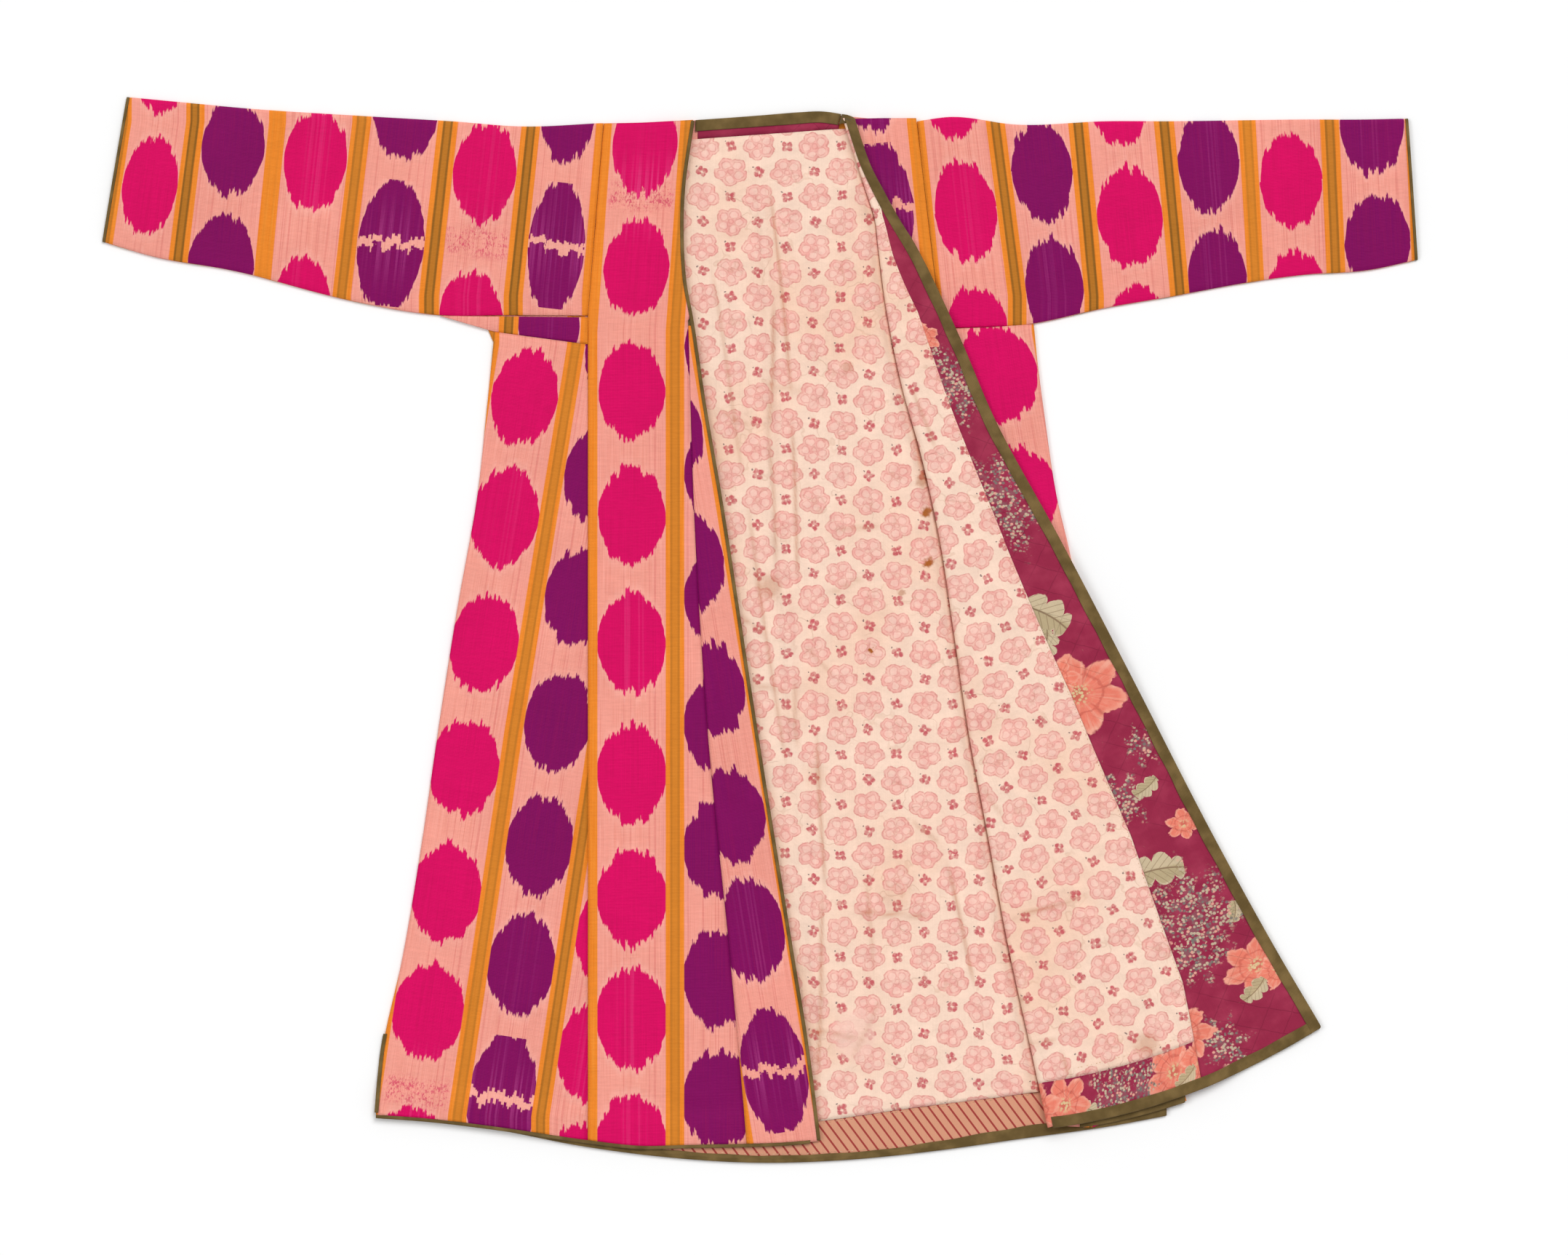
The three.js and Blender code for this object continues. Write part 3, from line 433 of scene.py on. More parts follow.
def ikat_map(layout, x, y):
    """Cloth map of a panel: u counts across the columns, v runs down the warp. Each point also gets
    its distance to the nearest oval's middle and to the nearest turn of the warp."""
    heights = np.array(layout["heights"], float)
    lines = np.array(layout["lines"], float)
    order = np.argsort(heights)
    x = np.broadcast_to(x, y.shape)
    places = np.array([np.interp(y, heights[order], row[order]) for row in lines])
    last = len(lines) - 1
    column = np.clip((places <= x).sum(axis=0) - 1, 0, last - 1)
    left, right = (np.take_along_axis(places, column[None] + k, 0)[0] for k in (0, 1))
    share = (x - left) / (right - left)
    u = (column + share + layout["first"]) * COLUMN
    way = np.array([lines[:, -1].mean() - lines[:, 0].mean(), heights[-1] - heights[0]])
    way /= np.hypot(*way)
    v = x * way[0] + y * way[1]
    reach, rank, turn = (np.full(y.shape, FAR) for _ in range(3))
    for k in range(last):
        here = column == k
        centre_line = ((lines[k] + lines[k + 1]) / 2)[order]
        centres = np.array(layout["ovals"][min(k, len(layout["ovals"]) - 1)], float)
        spots = np.interp(centres, heights[order], centre_line) * way[0] + centres * way[1]
        off = v[here][:, None] - spots[None, :]
        nearest = np.abs(off).argmin(axis=1)
        signed = np.take_along_axis(off, nearest[:, None], 1)[:, 0]
        reach[here] = np.abs(signed)
        rank[here] = 2 * nearest + (signed > 0) + 40 * layout["seed"]
        for at in layout["turns"][k] if k < len(layout["turns"]) else ():
            line = np.interp(at, heights[order], centre_line) * way[0] + at * way[1]
            away = v[here] - line
            turn[here] = np.where(np.abs(away) < np.abs(turn[here]), away, turn[here])
    tone = np.take(layout["tones"], np.clip(np.rint(column + share), 0, last).astype(int))
    values = {"reach": reach * MM, "rank": rank, "turn": turn * MM, "tone": tone}
    return np.stack([u, v], -1), values


# ---- shader building ---------------------------------------------------------------------------
SLOTS = {"Thread": "lining", "Ikat": "ikat", "Lining": "lining", "Facing": "facing",
         "Bias stripe": "bias_facing", "Edge tape": "tape"}
TURN = 6.2832  # one full turn
EIGHTH = 0.785  # an eighth of a turn
THREAD_STEP = 0.0006  # one thread to the next in the printed cottons
SOCKETS = {"V": "NodeSocketVector", "F": "NodeSocketFloat", "C": "NodeSocketColor"}


def linear(r, g, b):
    """An sRGB colour, 0 to 255, as linear RGBA."""
    values = [c / 255 for c in (r, g, b)]
    return (*[c / 12.92 if c <= 0.04045 else ((c + 0.055) / 1.055) ** 2.4 for c in values], 1.0)


def joins(operation):
    """A Python operator and its mirrored form, each of which adds one Math node."""
    return (lambda self, other: self.net.math(operation, self, other),
            lambda self, other: self.net.math(operation, other, self))


class Wire:
    """An output of a node. Arithmetic with it adds Math nodes to its tree."""

    __add__, __radd__ = joins("ADD")
    __sub__, __rsub__ = joins("SUBTRACT")
    __mul__, __rmul__ = joins("MULTIPLY")
    __truediv__ = joins("DIVIDE")[0]
    __mod__ = joins("FLOORED_MODULO")[0]
    __pow__ = joins("POWER")[0]
    __gt__ = joins("GREATER_THAN")[0]
    __lt__ = joins("LESS_THAN")[0]

    def __init__(self, net, socket):
        self.net, self.socket = net, socket

    def __abs__(self):
        return self.net.math("ABSOLUTE", self)

    def __round__(self):
        return self.net.math("ROUND", self)


class Net:
    """Short ways to wire the nodes of one tree."""

    def __init__(self, tree):
        self.tree = tree

    def put(self, socket, value):
        value = getattr(value, "socket", value)
        if isinstance(value, bpy.types.NodeSocket):
            self.tree.links.new(value, socket)
        else:
            socket.default_value = value

    def node(self, kind, *inputs, **settings):
        """The first output of a new node."""
        made = self.tree.nodes.new(kind)
        for key, value in settings.items():
            setattr(made, key, value)
        for socket, value in zip(made.inputs, inputs):
            self.put(socket, value)
        return Wire(self, made.outputs[0])

    def use(self, tree, *inputs):
        """The outputs of a node group."""
        made = self.tree.nodes.new("ShaderNodeGroup")
        made.node_tree = tree
        for socket, value in zip(made.inputs, inputs):
            self.put(socket, value)
        return [Wire(self, socket) for socket in made.outputs]

    def math(self, operation, *values):
        return self.node("ShaderNodeMath", *values, operation=operation)

    def high(self, a, b):
        return self.math("MAXIMUM", a, b)

    def low(self, a, b):
        return self.math("MINIMUM", a, b)

    def length(self, x, y):
        return self.math("SQRT", x * x + y * y)

    def floor(self, a, step):
        return self.math("FLOOR", a * (1 / step))

    def step(self, value, low, high):
        """0 at low and 1 at high, smooth between. It falls where low is the larger one."""
        return self.node("ShaderNodeMapRange", value, low, high, 0.0, 1.0, interpolation_type="SMOOTHSTEP")

    def vector(self, x, y, z=0.0):
        return self.node("ShaderNodeCombineXYZ", x, y, z)

    def parts(self, vector):
        """x and y of a vector."""
        made = self.tree.nodes.new("ShaderNodeSeparateXYZ")
        self.put(made.inputs[0], vector)
        return Wire(self, made.outputs[0]), Wire(self, made.outputs[1])

    def mix(self, share, a, b):
        """Colour a, or as much of colour b as the share says."""
        made = self.tree.nodes.new("ShaderNodeMix")
        made.data_type = "RGBA"
        for socket, value in ((made.inputs[0], share), (made.inputs[6], a), (made.inputs[7], b)):
            self.put(socket, value)
        return Wire(self, made.outputs[2])

    def random(self, x, y):
        return self.node("ShaderNodeTexWhiteNoise", self.vector(x, y), noise_dimensions="3D")

    def noise(self, vector, scale, detail=2.0, roughness=0.5):
        made = self.tree.nodes.new("ShaderNodeTexNoise")
        inputs = {"Vector": vector, "Scale": scale, "Detail": detail, "Roughness": roughness}
        for key, value in inputs.items():
            self.put(made.inputs[key], value)
        return Wire(self, made.outputs[0])

    def stretched(self, x, y, across, down, *detail):
        """Noise with its own scale each way."""
        return self.noise(self.vector(x * across, y * down), 1.0, *detail)

    def fade(self, value, low, high, first, second):
        """One sRGB colour turning into another as a value goes from low to high."""
        return self.mix(self.step(value, low, high), linear(*first), linear(*second))

    def bright(self, colour, factor):
        """Colour multiplied by a grey factor."""
        made = self.tree.nodes.new("ShaderNodeVectorMath")
        made.operation = "SCALE"
        self.put(made.inputs[0], colour)
        self.put(made.inputs["Scale"], factor)
        return Wire(self, made.outputs[0])


def group(name, inputs, outputs):
    """An empty node group with named sockets; returns its Net, its inputs and a finisher."""
    tree = bpy.data.node_groups.new(name, "ShaderNodeTree")
    for sockets, way in ((inputs, "INPUT"), (outputs, "OUTPUT")):
        for key, kind in sockets:
            tree.interface.new_socket(key, in_out=way, socket_type=SOCKETS[kind])
    net = Net(tree)
    entry = tree.nodes.new("NodeGroupInput")
    leave = tree.nodes.new("NodeGroupOutput")

    def finish(*values):
        for socket, value in zip(leave.inputs, values):
            net.put(socket, value)
        return tree

    return net, [Wire(net, socket) for socket in entry.outputs[:-1]], finish


def cloth_group(name, *extra):
    """A group that gives the colour and the height of a cloth from its map and extra values."""
    inputs = (("Cloth", "V"), *((key, "F") for key in extra))
    return group(name, inputs, (("Colour", "C"), ("Height", "F")))


def motif_group(name):
    """A group that draws one motif of the facing, from its place, its size and its turn."""
    return group(name, (("Place", "V"), ("Size", "F"), ("Turn", "F")),
                 (("Shape", "F"), ("Pale", "F"), ("Deep", "F")))


def weave_group():
    """Threads of a plain weave: height, and a faint brightness change from thread to thread."""
    net, (cloth, across, down), finish = group(
        "Weave", (("Cloth", "V"), ("Warp step", "F"), ("Weft step", "F")), (("Height", "F"), ("Shade", "F")))
    u, v = net.parts(cloth)
    warp = net.math("SINE", u / across * TURN)
    weft = net.math("SINE", v / down * TURN)
    height = warp * 0.35 + weft * 0.65
    slub = net.stretched(u, v, 900.0, 14.0)
    return finish(height + slub, 0.94 + slub * 0.12)


def ikat_group(weave, colours):
    """Warp ikat: columns of jagged ovals between striped bands, on streaky ground."""
    net, (cloth, reach, rank, turn, tone), finish = cloth_group("Ikat", "Reach", "Rank", "Turn", "Tone")
    u, v = net.parts(cloth)
    pitch = COLUMN * MM
    column = net.floor(u, pitch)
    x = u - (column + 0.5) * pitch
    side = abs(x)
    purple = column % 2.0 > 0.5
    rank = round(rank)
    pair = net.math("FLOOR", rank * 0.5)
    own = net.random(column, pair)
    bundle = lambda width, key: net.random(net.floor(u, width), key)
    from_turn = abs(turn)
    # Bundles of warp tied together slip past each other, so the ends of an oval are ragged.
    coarse = bundle(0.0058, rank) - 0.36
    fine = bundle(0.0024, rank + 0.31) - 0.42
    thread = bundle(0.0008, rank + 0.57) - 0.5
    slip = coarse * 0.009 + fine * 0.008 + thread * 0.003
    wobble = (net.noise(net.vector(rank, v * 40.0), 1.0) - 0.5) * 0.004
    wide = 0.0362 + net.high(v, 0.0) * 0.0036
    inside = abs((x + wobble) / wide) ** 2.0
    lobe = net.high(1.0 - inside, 0.0) ** 0.57
    swell = 1.0 + purple * (from_turn < 0.0725) * 0.36
    size = 0.052 + own * 0.004
    half = lobe * size * swell
    depth = half + slip * net.low(lobe * 1.4, 1.0) - reach
    oval = net.step(depth, -0.0014, 0.0012)
    # Where the warp turns, purple ovals are cut by a pale line, and flecks lie between magenta ones.
    slide = (bundle(0.0105, pair + 0.2) - 0.5) * 0.011
    slide = slide + (bundle(0.0038, pair + 0.7) - 0.5) * 0.004
    teeth = bundle(0.0032, rank + 0.9) ** 2.0 * 0.0075
    clear = abs(turn + slide * 0.8) - teeth
    gap = net.step(clear, 0.0024, 0.0038)
    oval = oval * net.high(gap, 1.0 - purple)
    speck = net.stretched(u, v, 520.0, 230.0, 3.0, 0.7)
    speck = speck + (net.noise(cloth, 60.0) - 0.5) * 0.5
    flecks = net.step(speck, 0.5, 0.62) * net.step(from_turn, 0.024, 0.006)
    flecks = flecks * (net.step(side, 0.04, 0.03) * (1.0 - purple))
    # Ground.
    streak = net.stretched(u, v, 1300.0, 9.0, 3.0, 0.7)
    crinkle = net.stretched(u, v, 60.0, 330.0, 3.0, 0.6)
    cloud = net.noise(cloth, 9.0, 3.0)
    ground = net.fade(streak, 0.35, 0.75, colours["ground"], (232, 142, 126))
    red_thread = bundle(0.0011, 3.0) > 0.88
    ground = net.mix(red_thread * 0.3, ground, linear(206, 92, 92))
    pale = net.step(depth, -0.014, 0.0) * (0.1 + own * 0.35)
    ground = net.mix(pale, ground, linear(250, 182, 168))
    # Dyes. Some ovals let undyed threads through, most of all beside a turn.
    magenta = net.fade(streak, 0.3, 0.8, colours["magenta"], (204, 0, 88))
    plum = net.fade(streak, 0.3, 0.8, colours["purple"], (140, 8, 88))
    dye = net.mix(purple, magenta, plum)
    missed = bundle(0.0022, own)
    missed = net.step(missed, 0.55, 0.9) * net.step(streak, 0.3, 0.6)
    near_turn = net.step(from_turn, 0.066, 0.004) * 0.6
    thin = net.step(own, 0.72, 0.8) * (net.step(side, 0.022, 0.006) * 0.3)
    missed = missed * net.high(near_turn, thin)
    dye = net.mix(missed, dye, net.mix(purple, linear(236, 70, 136), linear(172, 60, 132)))
    colour = net.mix(flecks * 0.78, ground, linear(208, 56, 96))
    colour = net.mix(oval, colour, dye)
    # Bands between the columns: orange, with a golden middle between two darker lines.
    off = pitch / 2 - side + (streak - 0.5) * 0.001
    band = net.step(off - tone * 0.0018, 0.0102, 0.0092)
    band = band * net.step(tone, -0.6, -0.4)
    core = net.step(off, 0.0058, 0.0046) * net.step(tone, 0.02, 0.3)
    line = abs(off - 0.0042)
    line = net.step(line, 0.0023, 0.0004) * tone * (0.42 + cloud * 0.5)
    orange = net.fade(streak, 0.3, 0.7, colours["orange"], (240, 144, 50))
    olive = net.mix(tone, linear(226, 136, 42), linear(164, 108, 34))
    strip = net.mix(core * 0.8, orange, olive)
    strip = net.mix(line, strip, linear(112, 78, 26))
    colour = net.mix(band, colour, strip)
    threads, shade = net.use(weave, cloth, 0.0007, 0.0011)
    # Painted shade: the crinkle noise that raises the cloth also lightens it, so its hollows are painted darker; the
    # cloud noise varies the brightness at random.
    shade = shade * (0.79 + (cloud * 0.2 + crinkle * 0.22))
    height = threads * 0.6 + crinkle * 3.6
    return finish(net.bright(colour, shade), height)


def lobed(net, x, y, lobes, turn):
    """Radius and the angle folded into one lobe, measured from the middle of that lobe."""
    radius = net.length(x, y)
    angle = net.math("ARCTAN2", y, x) + turn
    wedge = TURN / lobes
    folded = angle % wedge - wedge / 2
    return radius, folded


def lobe_reach(net, radius, folded, out):
    """Distance from a place on the middle of the lobe, out from the centre."""
    px = radius * net.math("COSINE", folded)
    py = radius * net.math("SINE", folded)
    return net.math("SQRT", (px - out) ** 2.0 + py * py)


def rosette_group():
    """One scalloped rosette: fill, drawn lines and pale petals."""
    net, (place, turn), finish = group(
        "Rosette", (("Place", "V"), ("Turn", "F")), (("Fill", "F"), ("Line", "F"), ("Petal", "F")))
    x, y = net.parts(place)
    radius, folded = lobed(net, x * 0.92, y * 1.03, 5, turn)
    to_lobe = lobe_reach(net, radius, folded, 0.0091)
    body = net.low(to_lobe, radius * 0.72)
    fill = net.step(body, 0.0088, 0.0076)
    line = net.step(body, 0.0067, 0.0074) * net.step(body, 0.0088, 0.0081)
    petal = net.step(to_lobe, 0.0048, 0.0030)
    ring = net.step(to_lobe, 0.0038, 0.0043) * net.step(to_lobe, 0.0055, 0.0049)
    heart = net.step(radius, 0.0016, 0.0024) * net.step(radius, 0.004, 0.0033)
    drawn = net.high(line, ring * 0.7)
    return finish(fill, net.high(drawn, heart * 0.8), petal)


# Stains of the lining: place across and down the cloth, radius and strength.
STAINS = (
    (0.007, -0.007, 0.01, 0.4), (0.098, 0.159, 0.008, 1.0), (0.095, 0.122, 0.013, 0.55),
    (0.1, 0.217, 0.008, 1.0), (0.034, 0.3167, 0.004, 1.0), (-0.082, 0.245, 0.02, 0.4),
    (0.069, 0.2515, 0.006, 0.5), (0.093, 0.05, 0.007, 0.4), (-0.03, 0.46, 0.02, 0.15),
    (0.062, 0.6, 0.024, 0.15),
)


def lining_group(weave, rosette):
    """Cream cotton printed with rosettes and small quatrefoils in turn."""
    net, (cloth, painted_shade), finish = cloth_group("Lining print", "Painted_shade")
    u0, v0 = net.parts(cloth)
    slow, quick = net.noise(cloth, 7.0), net.noise(cloth, 130.0)
    slow_v, quick_v = net.noise(net.vector(v0, u0), 6.0), net.noise(net.vector(v0, u0), 120.0)
    u = u0 + ((slow - 0.5) * 0.012 + (quick - 0.5) * 0.0056)
    v = v0 + ((slow_v - 0.5) * 0.016 + (quick_v - 0.5) * 0.0056)
    wide, tall = 0.0318, 0.0291
    masks = []
    for shift in (0.0, 1.0):
        cu = u * (0.5 / wide) + (0.5 * shift + 0.5)
        cv = v * (0.5 / tall) + (0.5 * shift + 0.5)
        iu, iv = net.math("FLOOR", cu), net.math("FLOOR", cv)
        x = (cu - iu - 0.5) * (2 * wide)
        y = (cv - iv - 0.5) * (2 * tall)
        masks.append(net.use(rosette, net.vector(x, y), net.random(iu, iv + shift) * 0.6))
    fill, line, petal = (net.high(masks[0][k], masks[1][k]) for k in range(3))
    fill = fill * (0.55 + net.step(net.noise(cloth, 150.0, 3.0), 0.3, 0.6) * 0.45)
    cu, cv = u * (1 / wide) + 0.5, v * (1 / tall) + 0.5
    iu, iv = net.math("FLOOR", cu), net.math("FLOOR", cv)
    odd = (iu + iv) % 2.0 > 0.5
    x = (cu - iu - 0.5) * wide
    y = (cv - iv - 0.5) * tall
    slant = iu % 2.0 * EIGHTH
    radius, folded = lobed(net, x, y, 4, slant + net.random(iu, iv) * 0.5)
    to_petal = lobe_reach(net, radius, folded, 0.0038)
    small = net.step(to_petal, 0.0037, 0.0021) * net.step(radius, 0.0003, 0.0015) * odd
    speck_x, speck_y = x + 0.0062, y + 0.0058
    speck = net.length(speck_x, speck_y)
    speck = net.step(speck, 0.0011, 0.0007) * odd
    ink = net.step(net.noise(cloth, 210.0, 3.0), 0.28, 0.62)
    age = net.noise(cloth, 5.0, 3.0)
    blush = net.noise(cloth, 60.0, 3.0)
    cream = net.fade(age, 0.42, 0.68, (252, 220, 199), (248, 207, 182))
    pink = net.fade(blush, 0.3, 0.7, (243, 170, 160), (250, 196, 182))
    colour = net.mix(fill * 0.95, cream, pink)
    colour = net.mix(petal * 0.5, colour, linear(252, 212, 196))
    colour = net.mix(line * 0.62 * (0.15 + ink * 0.75), colour, linear(208, 120, 114))
    colour = net.mix(small * 0.9 * (0.5 + ink * 0.5), colour, linear(200, 70, 86))
    colour = net.mix(speck * 0.8, colour, linear(118, 96, 96))
    uneven = (net.noise(cloth, 170.0, 2.0) - 0.5) * 0.012
    for across, down, size, strength in STAINS:
        du, dv = u0 - across, v0 - down
        away = net.length(du, dv) + uneven
        stain = net.step(away, size, size * 0.3) * strength
        colour = net.mix(stain, colour, linear(176, 100, 46))
    # A worn place near the hem, where the print has nearly gone.
    du, dv = (u0 - 0.015) * 1.15, v0 - 0.759
    away = net.length(du, dv) + uneven * 1.6
    colour = net.mix(net.step(away, 0.034, 0.02) * 0.7, colour, linear(250, 206, 190))
    threads, shade = net.use(weave, cloth, THREAD_STEP, THREAD_STEP)
    # Painted shade: the wrinkle noise that raises the cloth also lightens it, thin crease lines are painted darker
    # brown, and the shade values passed in paint brown shade along the fold, the closed front's edge and the narrow
    # creases.
    wrinkle = net.noise(cloth, 46.0, 4.0, 0.6)
    thin = abs(net.noise(cloth, 17.0, 3.0, 0.55) - 0.5)
    thin = net.step(thin, 0.014, 0.0) * net.step(net.noise(net.vector(v0, u0), 21.0), 0.45, 0.62)
    painted_shade_amount = net.high(thin * 0.22, painted_shade * (0.3 + wrinkle * 0.7))
    shade_brown = net.fade(painted_shade, 0.4, 0.9, (192, 136, 102), (190, 104, 64))
    colour = net.mix(painted_shade_amount, colour, shade_brown)
    shade = shade * (0.86 + wrinkle * 0.24)
    height = threads * 0.5 + (wrinkle * 26.0 - thin * 3.0)
    return finish(net.bright(colour, shade), height)


def bloom_group():
    """An open flower of ragged petals: its shape, its pale parts and its deep parts."""
    net, (place, size, turn), finish = motif_group("Bloom")
    x, y = net.parts(place)
    x, y = x / size, y / size
    ragged = (net.noise(net.vector(x, y, turn), 4.5, 3.0) - 0.5) * 0.34
    radius, folded = lobed(net, x, y, 6, turn + ragged * 0.5)
    spread = abs(folded)
    edge = 1.0 - spread ** 1.4 * 0.85
    inside = edge - radius + ragged
    shape = net.step(inside, 0.0, 0.06)
    angle = net.math("ARCTAN2", y, x)
    streak = net.noise(net.vector(angle * 7.0, radius * 1.6, turn), 1.0, 3.0, 0.6)
    rim = net.step(inside, 0.22, 0.04)
    pale = rim * 0.6 + net.step(streak, 0.45, 0.7) * 0.6
    between = net.step(spread, 0.44, 0.52) * net.step(radius, 0.2, 0.5)
    inner = abs(radius - (0.46 + ragged * 0.8))
    ring = net.step(inner, 0.05, 0.01) * 0.6
    heart = net.step(radius, 0.24, 0.1)
    deep = net.high(net.high(between * 0.8, ring), heart * 0.7)
    return finish(shape, net.low(pale, 1.0), deep)


def leaf_group():
    """A lobed leaf: its shape, its pale half and its veins."""
    net, (place, size, turn), finish = motif_group("Leaf")
    x, y = net.parts(place)
    x, y = x / size, y / size
    cos, sin = net.math("COSINE", turn), net.math("SINE", turn)
    ahead = x * cos + y * sin
    aside = y * cos - x * sin
    ragged = (net.noise(net.vector(x, y, turn), 5.0, 2.0) - 0.5) * 0.24
    wing = abs(aside + ahead * ahead * 0.18)
    bow = net.math("SQRT", net.high(1.0 - ahead * ahead, 0.0))
    lobes = net.math("SQRT", abs(net.math("SINE", ahead * 4.3 + 0.5)))
    lobes = 0.5 + lobes * 0.62
    inside = net.math("SQRT", bow) * lobes * 0.66 - wing + ragged * 0.7
    shape = net.step(inside, 0.0, 0.05)
    side_vein = net.math("SINE", (ahead - wing * 0.9) * 21.0)
    veins = net.high(net.step(wing, 0.05, 0.015), net.step(side_vein, 0.82, 0.97) * 0.6)
    pale = net.high(net.step(aside, -0.05, 0.1) * 0.7, net.step(inside, 0.14, 0.05))
    return finish(shape, pale, veins)


# Scattered motifs of the facing: kind, place along the edge and in from it, size and turn.
FACING_MOTIFS = (
    ("Sprig", 0.33, 0.018, 0.046, 0.0), ("Bloom", 0.268, 0.034, 0.02, 0.3),
    ("Sprig", 0.475, 0.03, 0.056, 0.8), ("Leaf", 0.614, 0.046, 0.029, 2.2),
    ("Leaf", 0.65, 0.06, 0.019, 0.9), ("Bloom", 0.716, 0.052, 0.05, 0.1),
    ("Bloom", 0.69, 0.066, 0.026, 0.8), ("Sprig", 0.8, 0.02, 0.022, 0.3), ("Sprig", 0.846, 0.06, 0.03, 2.0),
    ("Leaf", 0.846, 0.034, 0.014, 0.3), ("Bloom", 0.902, 0.018, 0.019, 1.2),
    ("Leaf", 0.936, 0.062, 0.027, 2.9), ("Leaf", 1.02, 0.014, 0.012, 1.1),
    ("Sprig", 1.002, 0.05, 0.056, 1.3), ("Sprig", 1.046, 0.07, 0.03, 2.3),
    ("Bloom", 1.086, 0.022, 0.034, 0.5), ("Bloom", 1.104, 0.006, 0.022, 1.8),
    ("Leaf", 1.112, 0.034, 0.015, 0.4), ("Sprig", 1.15, 0.086, 0.03, 1.0),
    ("Bloom", 1.122, 0.152, 0.037, 0.2), ("Bloom", 1.12, 0.116, 0.033, 0.9),
    ("Leaf", 1.134, 0.136, 0.014, 0.6), ("Sprig", 1.13, 0.226, 0.044, 1.0),
    ("Sprig", 1.124, 0.192, 0.028, 2.0), ("Leaf", 1.138, 0.258, 0.013, 2.6),
    ("Bloom", 1.128, 0.29, 0.034, 0.7), ("Bloom", 1.132, 0.328, 0.036, 0.2),
)


def facing_group(weave, bloom, leaf):
    """Crimson cotton with loosely scattered blooms, leaves and sprigs."""
    net, (cloth,), finish = cloth_group("Facing print")
    u, v = net.parts(cloth)
    worn = net.noise(cloth, 34.0, 3.0)
    colour = net.fade(worn, 0.4, 0.75, (150, 40, 70), (168, 56, 84))
    tints = {"Bloom": (bloom, linear(238, 130, 108), linear(250, 190, 166), linear(190, 84, 70)),
             "Leaf": (leaf, linear(188, 172, 134), linear(226, 208, 176), linear(128, 104, 78))}
    cells = net.tree.nodes.new("ShaderNodeTexVoronoi")
    cells.inputs["Scale"].default_value = 300.0
    net.put(cells.inputs["Vector"], cloth)
    dots = net.step(cells.outputs["Distance"], 0.58, 0.38)
    which, _ = net.parts(cells.outputs["Color"])
    tint = net.fade(which, 0.25, 0.4, (126, 118, 112), (200, 182, 156))
    tint = net.mix(net.step(which, 0.82, 0.86), tint, linear(232, 168, 150))
    clump = net.noise(cloth, 95.0, 3.0, 0.65)
    for kind, where, deep, size, turn in FACING_MOTIFS:
        place = net.vector(u - deep, v - where)
        if kind == "Sprig":
            px, py = net.parts(place)
            radius, folded = lobed(net, px, py * 0.7, 7, turn)
            arm = 1.0 - abs(folded) * 0.9
            reach = arm * size + (clump - 0.5) * (size * 0.9)
            here = net.step(reach - radius, 0.0, size * 0.35)
            mist = net.step(reach - radius, size * 0.1, size * 0.8) * net.step(clump, 0.4, 0.6)
            colour = net.mix(mist * 0.5, colour, linear(136, 112, 112))
            pick = net.step(clump + here * 0.16, 0.48, 0.56)
            colour = net.mix(dots * pick * (here * 0.92), colour, tint)
            continue
        tree, fill, rim, heart = tints[kind]
        shape, pale, deep_part = net.use(tree, place, size, turn)
        inner = net.mix(pale * 0.7, fill, rim)
        inner = net.mix(deep_part * 0.8, inner, heart)
        if kind == "Bloom":
            px, py = net.parts(place)
            away = net.length(px, py)
            seeds = net.step(away, size * 0.36, size * 0.1) * dots
            inner = net.mix(seeds * 0.85, inner, linear(226, 208, 156))
        colour = net.mix(shape * 0.94, colour, inner)
    threads, shade = net.use(weave, cloth, THREAD_STEP, THREAD_STEP)
    # Painted shade: the wrinkle noise that raises the cloth also lightens it, and the quilting grooves are painted
    # darker.
    wrinkle = net.noise(cloth, 60.0, 3.0)
    quilt = []
    quilt_step = 0.034
    for way, start in ((1.0, 0.004), (-1.0, 0.0)):
        run = u + v * way + (wrinkle - 0.5) * 0.005
        line = abs(net.math("FRACT", (run + start) * (1 / quilt_step)) - 0.5)
        quilt.append(net.step(line, 0.03, 0.0))
    quilt = net.high(*quilt) * net.step(net.noise(cloth, 12.0), 0.4, 0.55)
    shade = shade * (0.93 + wrinkle * 0.14 - quilt * 0.16)
    height = threads * 0.5 + (wrinkle * 14.0 - quilt * 3.0)
    return finish(net.bright(colour, shade), height)


def plain_groups(weave):
    """The bias-cut striped cotton, the sewing thread and the woven edge tape."""
    net, (cloth,), finish = cloth_group("Bias print")
    u, v = net.parts(cloth)
    stripe = 0.0118
    line = abs(net.math("FRACT", (u + v * 0.75) / stripe) - 0.5)
    colour = net.fade(line, 0.14, 0.09, (222, 158, 128), (168, 66, 62))
    threads, shade = net.use(weave, cloth, THREAD_STEP, THREAD_STEP)
    bias = finish(net.bright(colour, shade), threads)

    net, (cloth,), finish = cloth_group("Sewing thread")
    u, v = net.parts(cloth)
    ply = net.math("SINE", (u + v) * (TURN / THREAD_STEP))
    worn = net.noise(cloth, 90.0)
    colour = net.fade(worn, 0.3, 0.7, (214, 170, 132), (238, 206, 170))
    thread = finish(colour, ply)

    net, (cloth,), finish = cloth_group("Tape weave")
    u, v = net.parts(cloth)
    rib = 0.0014
    twill = net.math("SINE", (v + abs(u)) * (TURN / rib))
    worn = net.noise(cloth, 40.0, 3.0)
    colour = net.fade(worn, 0.35, 0.7, (104, 84, 48), (132, 108, 66))
    # Painted shade: the twill ribs that raise the tape are painted lighter on their crests.
    colour = net.bright(colour, 0.94 + twill * 0.06)
    return bias, thread, finish(colour, twill * 0.6)


